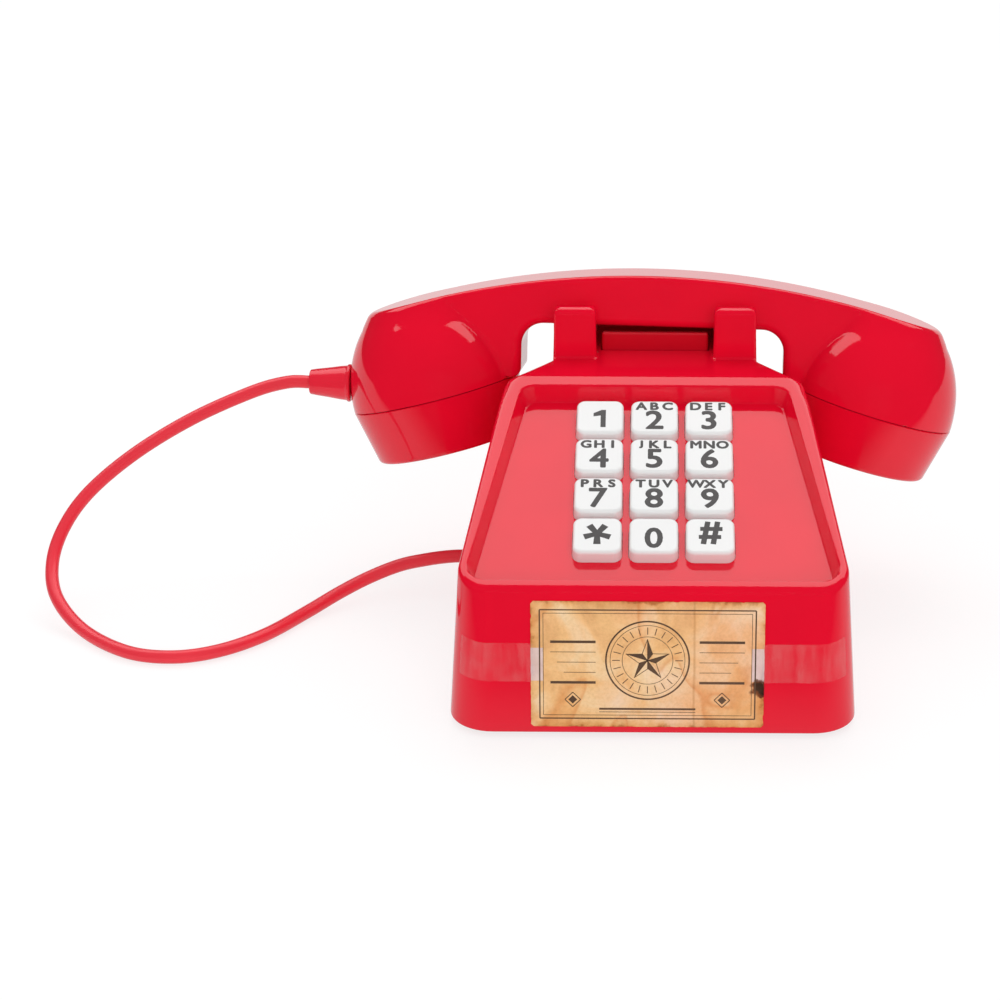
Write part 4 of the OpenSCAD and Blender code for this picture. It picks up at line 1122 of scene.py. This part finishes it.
def aged_paper():
    """Paper in drifting tones, brown at the edges, with streaks, a fold, a stain, taped ends."""
    look = Look("aged_paper")
    axes = added(look.tree, "ShaderNodeSeparateXYZ", {"Vector": look.where}).outputs
    across = look.maths("SUBTRACT", axes["X"], card_middle_x)
    along = look.maths("SUBTRACT", axes["Z"], on_card(0, 0, 0)[2])
    from_side = look.maths("SUBTRACT", card_half[0], look.maths("ABSOLUTE", across))
    from_middle = look.maths("ABSOLUTE", along)
    from_top = look.maths("SUBTRACT", card_half[1] * math.cos(face_lean), from_middle)

    def wander(scale, detail, rough, reach):
        centred = look.maths("SUBTRACT", look.noise(scale, detail, rough), 0.5)
        return look.maths("MULTIPLY", centred, reach)

    ragged = look.maths("ADD", look.maths("MINIMUM", from_side, from_top),
                        wander(160, 4, 0.65, edge_ragged))
    taped = look.maths("MULTIPLY", look.maths("LESS_THAN", from_side, taped_in),
                       look.maths("LESS_THAN", from_middle, taped_half))
    from_stain = added(look.tree, "ShaderNodeVectorMath", {
        0: look.where, 1: on_card(*stain_spot, 0)}, operation="DISTANCE").outputs["Value"]
    blotch = look.maths("ADD", from_stain, wander(420, 3, 0.6, stain_ragged))
    bent = look.maths("ADD", axes["X"], look.maths("MULTIPLY", look.noise(60, 2), fold_wander))
    fold = look.maths("ABSOLUTE", look.maths("SUBTRACT", bent, fold_x))

    tone = look.ramp(look.noise(46, 4, 0.55, 0.6), paper_tones)
    for kind, share, layer in (
            ("MULTIPLY", 1.0, look.ramp(look.noise(24, 2), rosy_tones)),
            ("MULTIPLY", 1.0, look.ramp(look.noise(900, 3, 0.7), fibre_tones)),
            ("MULTIPLY", 0.8, look.ramp(look.noise(17, 2, 0.45, 1.4), streak_tones)),
            ("MULTIPLY", 1.0, look.ramp(look.spread(ragged, 0, 1, *edge_browned), edge_tones)),
            ("MIX", look.maths("MULTIPLY", taped, 0.7),
             look.ramp(look.noise(220, 3, 0.6), film_tones)),
            ("MULTIPLY", 0.95, look.ramp(look.maths("DIVIDE", blotch, stain_reach), stain_tones)),
            ("MULTIPLY", 0.8, look.ramp(look.maths("DIVIDE", fold, fold_half), fold_tones))):
        tone = look.mixed(kind, share, tone, layer)
    feed(look.shader, {"Base Color": tone, "Roughness": 0.62, "IOR": 1.4})
    relief = look.maths("ADD", look.noise(70, 3, 0.55, 0.4), look.maths("MULTIPLY", fold, 60.0))
    look.bumped(relief, 0.5, card_relief)
    return look.material


card_skin = Skin()
outline = worn_outline()
card_back, card_front = (card_skin.ring([(u, v, out) for u, v in outline])
                         for out in (0, card_thick))
card_skin.band(card_back, card_front)
card_skin.fill([card_front])
card_skin.fill([card_back], flip=True)
card_skin.points = [on_card(*p) for p in card_skin.points]
label_card = card_skin.piece("label_paper", aged_paper(), weighted=False)
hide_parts("label_card")
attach(label_card, "base")

ink_skin = Skin()
ink_lift = 0.00003
fine_line = 0.00018
frames = ((0.0030, 0.00045), (0.0042, fine_line))
medallion = (0.0, 0.0015)
medallion_rings = ((0.0138, 0.00055), (0.0124, fine_line), (0.0084, fine_line))
star_points = 5
star_tip = 0.0076
star_dent = 0.0030
star_line = 0.00022
rays = 24
ray_from, ray_to = 0.0092, 0.0117
ray_line = 0.00028
side_lines = ((0.0150, 0.0009), (0.0150, 0.0002), (0.0128, 0.0002), (0.0106, 0.0002),
              (0.0150, 0.0009))
side_line_in = 0.0172
side_line_top = 0.0080
side_line_pitch = 0.0036
lozenge_at = (0.0248, -0.0125)
lozenge_frame = 0.0026
lozenge_core = 0.0015
lozenge_line = 0.0003
foot_line_half = 0.0160
foot_lines = ((-0.0158, 0.0007), (-0.0169, 0.0002))


def printed_ring(spots):
    return ink_skin.ring([on_card(u, v, card_thick + ink_lift) for u, v in spots])


def inked(spots):
    ink_skin.faces.append(tuple(printed_ring(spots)))


def ruled(a, b, thick):
    inked(bar_between(a, b, thick, thick))


def framed(spots, thick):
    for a, b in zip(spots, spots[1:] + spots[:1]):
        ruled(a, b, thick)


def spoke(radius, angle):
    """The point at that distance and angle from the medallion's middle."""
    return medallion[0] + radius * math.cos(angle), medallion[1] + radius * math.sin(angle)


for inset, thick in frames:
    half_u, half_v = card_half[0] - inset, card_half[1] - inset
    framed([(-half_u, -half_v), (half_u, -half_v), (half_u, half_v), (-half_u, half_v)], thick)
for radius, thick in medallion_rings:
    ink_skin.band(*(printed_ring(circle(r, 72, medallion))
                    for r in (radius - thick / 2, radius + thick / 2)))
for k in range(star_points):
    a = math.radians(90 + 360 * k / star_points)
    half_turn = math.pi / star_points
    inked([medallion, spoke(star_dent, a - half_turn), spoke(star_tip, a)])
    framed([medallion, spoke(star_tip, a), spoke(star_dent, a + half_turn)], star_line)
for k in range(rays):
    a = 2 * math.pi * k / rays
    ruled(spoke(ray_from, a), spoke(ray_to, a), ray_line)
for side in (-1, 1):
    for k, (length, thick) in enumerate(side_lines):
        v = side_line_top - side_line_pitch * k
        ruled((side * side_line_in, v), (side * (side_line_in + length), v), thick)
    middle = (side * lozenge_at[0], lozenge_at[1])
    framed(circle(lozenge_frame, 4, middle), lozenge_line)
    inked(circle(lozenge_core, 4, middle))
for v, thick in foot_lines:
    ruled((-foot_line_half, v), (foot_line_half, v), thick)
brown_ink = plastic("brown_ink", (0.16, 0.085, 0.045), 0.6, wave=0.00001, wave_scale=300,
                    deeper=0.55)
label_ink = ink_skin.piece("label_ornament", brown_ink, weighted=False)
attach(label_ink, "base")


# Tape. Two strips of clear tape hold the card's ends: each lies on the front face and runs round
# the base's corner, with small wrinkles and a matt film that only veils the red.
tape_height = 0.0136
tape_low = 0.0186
tape_thick = 0.00016
tape_clear = 0.00005
tape_wrap = math.radians(52)
tape_rows = 7
tape_flat_steps = 6
tape_wrap_steps = 14
tape_overlap = 0.0008
tape_on_card = card_thick + 0.0001
film_tint = (0.93, 0.80, 0.76, 1)
film_stretch = (420, 420, 35)
film_veil = (0.008, 0.07)
film_wrinkle = 0.00008


def clear_film():
    """Transparent, with a thin veil of film in streaks and clouds."""
    look = Look("clear_film")
    stretched = added(look.tree, "ShaderNodeMapping", {
        "Vector": look.where, "Scale": film_stretch})
    streaks = look.noise(1, 3, at=stretched.outputs["Vector"])
    cloud = look.noise(130, 3)
    veil = look.spread(look.maths("MULTIPLY", streaks, cloud), *film_veil, 0.12, 0.42)
    feed(look.shader, {
        "Base Color": film_tint, "IOR": 1.45, "Roughness": look.spread(cloud, 0.2, 0.45)})
    look.bumped(streaks, 0.6, film_wrinkle)
    clear = added(look.tree, "ShaderNodeBsdfTransparent").outputs["BSDF"]
    veiled = added(look.tree, "ShaderNodeMixShader", {
        "Fac": veil, 1: clear, 2: look.shader.outputs["BSDF"]})
    feed(look.tree.nodes["Material Output"], {"Surface": veiled.outputs["Shader"]})
    return look.material


def strip_stations(start_x, inset):
    flat_end = foot_half_front - foot_corner - 0.001
    found = [front_station(x, x, inset) for x in (
        mix(start_x, flat_end, k / tape_flat_steps) for k in range(tape_flat_steps + 1))]
    for k in range(tape_wrap_steps + 1):
        a = -math.pi / 2 + tape_wrap * k / tape_wrap_steps
        found.append(corner_station(front_corner, a, a, inset))
    return found


film_material = clear_film()
slant = math.cos(face_lean) / (panel_front_height - foot_gap)
tape_levels = [(tape_low + tape_height * j / tape_rows) * slant for j in range(tape_rows + 1)]
for side, node in ((-1, "tape_left"), (1, "tape_right")):
    card_end = card_half[0] + side * card_middle_x
    tape_skin = Skin()
    near, far = (strip_stations(card_end - tape_overlap, inset)
                 for inset in (-tape_clear, -tape_clear - tape_thick))
    rows_of_tape = []
    for k, (a, b) in enumerate(zip(near, far)):
        ring = [wall_point(a, h) for h in tape_levels]
        ring += [wall_point(b, h) for h in reversed(tape_levels)]
        over_card = k < 2 and a[0] < card_end + 0.0002
        lifted_by = Vector((0, -tape_on_card if over_card else 0, 0))
        rows_of_tape.append([Vector((side * p.x, p.y, p.z)) + lifted_by for p in ring])
    if side > 0:
        rows_of_tape = [list(reversed(ring)) for ring in rows_of_tape]
    tape_skin.loft(rows_of_tape)
    tape = tape_skin.piece(node + "_film", film_material, smooth=math.radians(40), weighted=False)
    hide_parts(node)
    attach(tape, "base")


# Feet and screws. One small tree turns a list of spots into fasteners: a flat drum of a head,
# crossed or plain, and a shank above it. The feet are rubber, the screws plated steel.
foot_radius = 0.007
foot_sink = 0.0008
screw_radius = 0.0013
screw_head_radius = 2 * screw_radius - 0.0001
cover_screw_shank = 0.0084
door_screw_shank = 0.0065
head_spot = foot_gap + 0.001
front_in, back_in = 0.0185, 0.0175
foot_front_y, foot_back_y = -base_half_depth + 0.0155, base_half_depth - 0.0355
post_front_y, post_back_y = -base_half_depth + 0.0315, base_half_depth - 0.0215
steel = (0.58, 0.57, 0.55)


def fastener_tree():
    """Geometry nodes: on every vertex of the input a shank and a head, crossed or plain."""
    tree = bpy.data.node_groups.new("fasteners", "GeometryNodeTree")
    names = {}
    for name, kind, value in (
            ("Geometry", "Geometry", None), ("Head radius", "Float", 0.0025),
            ("Head height", "Float", 0.0009), ("Shank radius", "Float", screw_radius),
            ("Shank length", "Float", 0.008), ("Cross width", "Float", 0.0006),
            ("Crossed", "Bool", True), ("Finish", "Material", None)):
        socket = tree.interface.new_socket(
            name=name, in_out="INPUT", socket_type="NodeSocket" + kind)
        names[name] = socket.identifier
        if value is not None:
            socket.default_value = value
    tree.interface.new_socket(name="Geometry", in_out="OUTPUT", socket_type="NodeSocketGeometry")
    given = added(tree, "NodeGroupInput").outputs

    def moved(mesh, height, share, turn=0):
        """The mesh turned about Z and raised by a share of the height."""
        rise = added(tree, "ShaderNodeMath", {0: given[height], 1: share}, operation="MULTIPLY")
        shift = added(tree, "ShaderNodeCombineXYZ", {"Z": rise.outputs[0]})
        return added(tree, "GeometryNodeTransform", {
            "Geometry": mesh, "Translation": shift.outputs[0],
            "Rotation": (0, 0, turn)}).outputs["Geometry"]

    def drum(radius, height, away):
        made = added(tree, "GeometryNodeMeshCylinder", {
            "Vertices": 40, "Radius": given[radius], "Depth": given[height]})
        return moved(made.outputs["Mesh"], height, away / 2)

    head = drum("Head radius", "Head height", -1)
    cut = added(tree, "GeometryNodeMeshBoolean", {"Mesh 1": head}, operation="DIFFERENCE")
    for turn in (0, math.pi / 2):
        size = added(tree, "ShaderNodeCombineXYZ", {
            "X": given["Head radius"], "Y": given["Cross width"], "Z": given["Head height"]})
        slot_bar = added(tree, "GeometryNodeMeshCube", {"Size": size.outputs[0]})
        feed(cut, {"Mesh 2": moved(slot_bar.outputs["Mesh"], "Head height", -1.1, turn)})
    chosen = added(tree, "GeometryNodeSwitch", {
        "Switch": given["Crossed"], "False": head, "True": cut.outputs["Mesh"]},
        input_type="GEOMETRY")
    joined = added(tree, "GeometryNodeJoinGeometry", {"Geometry": chosen.outputs["Output"]})
    feed(joined, {"Geometry": drum("Shank radius", "Shank length", 1)})
    spread = added(tree, "GeometryNodeInstanceOnPoints", {
        "Points": given["Geometry"], "Instance": joined.outputs["Geometry"]})
    real = added(tree, "GeometryNodeRealizeInstances", {"Geometry": spread.outputs["Instances"]})
    painted = added(tree, "GeometryNodeSetMaterial", {
        "Geometry": real.outputs["Geometry"], "Material": given["Finish"]})
    added(tree, "NodeGroupOutput", {"Geometry": painted.outputs["Geometry"]})
    return tree, names


fasteners, fastener_inputs = fastener_tree()


def fastened(name, spots, body, node, finish, slot, **sizes):
    """One piece of fasteners, head down, with each head's upper side on its spot."""
    seed = bpy.data.meshes.new(name + "_spots")
    seed.from_pydata(spots, [], [])
    holder = in_scene(name + "_spots", seed)
    modifier = holder.modifiers.new("fasteners", "NODES")
    modifier.node_group = fasteners
    for label, value in {**sizes, "Finish": finish}.items():
        modifier[fastener_inputs[label.replace("_", " ")]] = value
    bpy.context.view_layer.update()
    graph = bpy.context.evaluated_depsgraph_get()
    mesh = bpy.data.meshes.new_from_object(
        holder.evaluated_get(graph), preserve_all_data_layers=True, depsgraph=graph)
    holder.modifiers.clear()
    bpy.data.objects.remove(holder)
    mesh.name = name
    mesh.materials.pop(index=0)
    made = in_scene(name, mesh)
    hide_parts(node)
    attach(made, body)


def four_spots(front_y, back_y, z):
    return [(side * x, y, z) for side in (-1, 1) for x, y in (
        (foot_half_front - front_in, front_y), (foot_half_back - back_in, back_y))]


def metal(name, colour, roughness):
    """Plated or bare metal with fine brushed variation in tone and polish."""
    material = plastic(name, colour, roughness, wave=0.000008, wave_scale=400, deeper=0.85,
                       grain_scale=900)
    feed(material.node_tree.nodes["Principled BSDF"], {"Metallic": 1.0})
    return material


screw_steel = metal("screw_steel", steel, 0.3)
foot_rubber = plastic("foot_rubber", (0.022, 0.022, 0.023), 0.75, wave=0.00004, wave_scale=500,
                      deeper=0.7)
door_low, door_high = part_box("door_screw")
door_spot = ((door_low.x + door_high.x) / 2, (door_low.y + door_high.y) / 2, head_spot)
fastened("cover_screws_plated", four_spots(post_front_y, post_back_y, head_spot), "base",
         "cover_screws", screw_steel, "screw_steel",
         Head_radius=screw_head_radius, Shank_length=cover_screw_shank)
fastened("door_screw_plated", [door_spot], "base", "door_screw", screw_steel, "screw_steel",
         Head_radius=screw_head_radius, Shank_length=door_screw_shank)
fastened("rubber_pads", four_spots(foot_front_y, foot_back_y, foot_gap), "base", "rubber_feet",
         foot_rubber, "foot_rubber", Head_radius=foot_radius, Head_height=foot_gap,
         Shank_radius=foot_radius, Shank_length=foot_sink, Crossed=False)


# Bottom cover, battery door and the works inside keep their CAD shapes; each gets its own finish.
matt_red = plastic("base_red_matt", (0.60, 0.004, 0.020), 0.42, wave_scale=300, deeper=0.88)
board_green = plastic("circuit_board", (0.03, 0.14, 0.045), 0.35, deeper=0.7)
inner_black = plastic("inner_plastic", (0.05, 0.05, 0.055), 0.4, deeper=0.8)
finishes = {
    ("bottom_cover", "battery_door"): matt_red,
    ("batteries",): plastic("battery_jacket", (0.035, 0.035, 0.04), 0.3, deeper=0.6),
    ("battery_contacts", "hook_spring"): metal("spring_steel", (0.62, 0.60, 0.56), 0.22),
    ("keypad_membrane",): plastic("membrane_rubber", (0.30, 0.30, 0.27), 0.6, deeper=0.85),
    ("keypad_board", "main_board"): board_green,
    ("board_screws", "main_board_screws", "bracket_screws", "weight_screws"): screw_steel,
    ("base_speaker",): plastic("speaker_frame", (0.03, 0.03, 0.035), 0.5, deeper=0.7),
    ("speaker_magnet", "handset_weights"): metal("magnet_steel", (0.34, 0.34, 0.36), 0.38),
    ("hook_bracket", "hook_switch", "cord_clamp"): inner_black,
    ("earpiece_capsule", "microphone_capsule"): metal("capsule_metal", (0.45, 0.45, 0.47), 0.3),
}
for names, finish in finishes.items():
    for name in names:
        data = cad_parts[name].data
        data.materials.clear()
        data.materials.append(finish)


# Studio. A white floor runs to a low white wall behind. A wide softbox high above and behind shows
# in the gloss; a top light and a fill in front light the matt colour and leave that gloss dark.
floor_half = 4.0
floor_tone = 0.9
floor_seen = 0.3
floor_lift = 0.76
gloss_dark = 0.05
gloss_white = 0.82
gloss_turns = (-0.17, -0.07)
wall_back = 2.5
wall_half = 2.0
wall_height = 0.42
room_seen = 1.0
room_light = 0.66
studio_aim = Vector((0, 0, 0.06))
softbox_size = (2.5, 1.0)
softbox_distance = 1.2
softbox_lean = math.radians(28)
softbox_radiance = 2.2
top_light_size = (0.9, 0.6)
top_light_watts = 4.2
fill_size = (1.2, 1.2)
fill_way = Vector((0.15, -0.93, 0.33))
fill_distance = 2.0
fill_watts = 10


def flat_piece(name, corners, paper):
    mesh = bpy.data.meshes.new(name)
    mesh.from_pydata(corners, [], [tuple(range(len(corners)))])
    mesh.materials.append(paper)
    made = in_scene(name, mesh)


def emptied(owner, usual_shader):
    """The node tree of a material or a world, without the shader that it starts with."""
    owner.use_nodes = True
    owner.node_tree.nodes.remove(owner.node_tree.nodes[usual_shader])
    return owner.node_tree


def ray_switched(tree, camera_shader, glossy_shader, other_shader, output):
    """Shows one shader to the camera, one to glossy rays and one to all other rays."""
    rays = added(tree, "ShaderNodeLightPath").outputs
    shown = other_shader
    for kind, shader in (("Is Glossy Ray", glossy_shader), ("Is Camera Ray", camera_shader)):
        switch = added(tree, "ShaderNodeMixShader", {"Fac": rays[kind], 1: shown, 2: shader})
        shown = switch.outputs["Shader"]
    feed(tree.nodes[output], {"Surface": shown})


floor_paper = bpy.data.materials.new("floor_paper")
tree = emptied(floor_paper, "Principled BSDF")
matt, seen = (added(tree, "ShaderNodeBsdfDiffuse", {"Color": (tone, tone, tone, 1)})
              .outputs["BSDF"] for tone in (floor_tone, floor_seen))
lift = added(tree, "ShaderNodeEmission", {"Strength": floor_lift}).outputs["Emission"]
lifted = added(tree, "ShaderNodeAddShader", {0: seen, 1: lift}).outputs["Shader"]
where = added(tree, "ShaderNodeTexCoord").outputs["Object"]
axes = added(tree, "ShaderNodeSeparateXYZ", {"Vector": where}).outputs
reach = added(tree, "ShaderNodeMapRange", {
    "Value": axes["Y"], "From Min": gloss_turns[0], "From Max": gloss_turns[1],
    "To Min": gloss_dark, "To Max": gloss_white}).outputs["Result"]
mirrored = added(tree, "ShaderNodeEmission", {"Strength": reach}).outputs["Emission"]
ray_switched(tree, lifted, mirrored, matt, "Material Output")
flat_piece("floor", [(sx * floor_half, sy * floor_half, 0)
                     for sx, sy in ((-1, -1), (1, -1), (1, 1), (-1, 1))], floor_paper)

wall_paper = bpy.data.materials.new("wall_paper")
tree = emptied(wall_paper, "Principled BSDF")
white = added(tree, "ShaderNodeEmission", {"Strength": gloss_white}).outputs["Emission"]
feed(tree.nodes["Material Output"], {"Surface": white})
flat_piece("low_wall", [(-wall_half, wall_back, 0), (wall_half, wall_back, 0),
                        (wall_half, wall_back, wall_height), (-wall_half, wall_back, wall_height)],
           wall_paper)

world = bpy.data.worlds.new("room")
tree = emptied(world, "Background")
tones = [added(tree, "ShaderNodeBackground", {"Color": (1, 1, 1, 1), "Strength": strength})
         .outputs["Background"] for strength in (room_seen, gloss_dark, room_light)]
ray_switched(tree, *tones, "World Output")
bpy.context.scene.world = world


def area_light(name, size, watts, way, distance):
    """A rectangular lamp that faces the telephone from a direction and a distance."""
    data = bpy.data.lights.new(name, "AREA")
    data.shape = "RECTANGLE"
    data.size, data.size_y = size
    data.energy = watts
    lamp = in_scene(name, data)
    lamp.location = studio_aim + way.normalized() * distance
    lamp.rotation_euler = way.to_track_quat("Z", "Y").to_euler()
    return lamp


above = Vector((0, math.sin(softbox_lean), math.cos(softbox_lean)))
softbox_watts = softbox_radiance * math.pi * softbox_size[0] * softbox_size[1]
softbox = area_light("softbox", softbox_size, softbox_watts, above, softbox_distance)
softbox.visible_diffuse = False
top_light = area_light("top_light", top_light_size, top_light_watts, above, softbox_distance)
top_light.visible_glossy = False
fill = area_light("fill", fill_size, fill_watts, fill_way, fill_distance)
fill.visible_glossy = False
bpy.context.scene.view_settings.view_transform = "Standard"
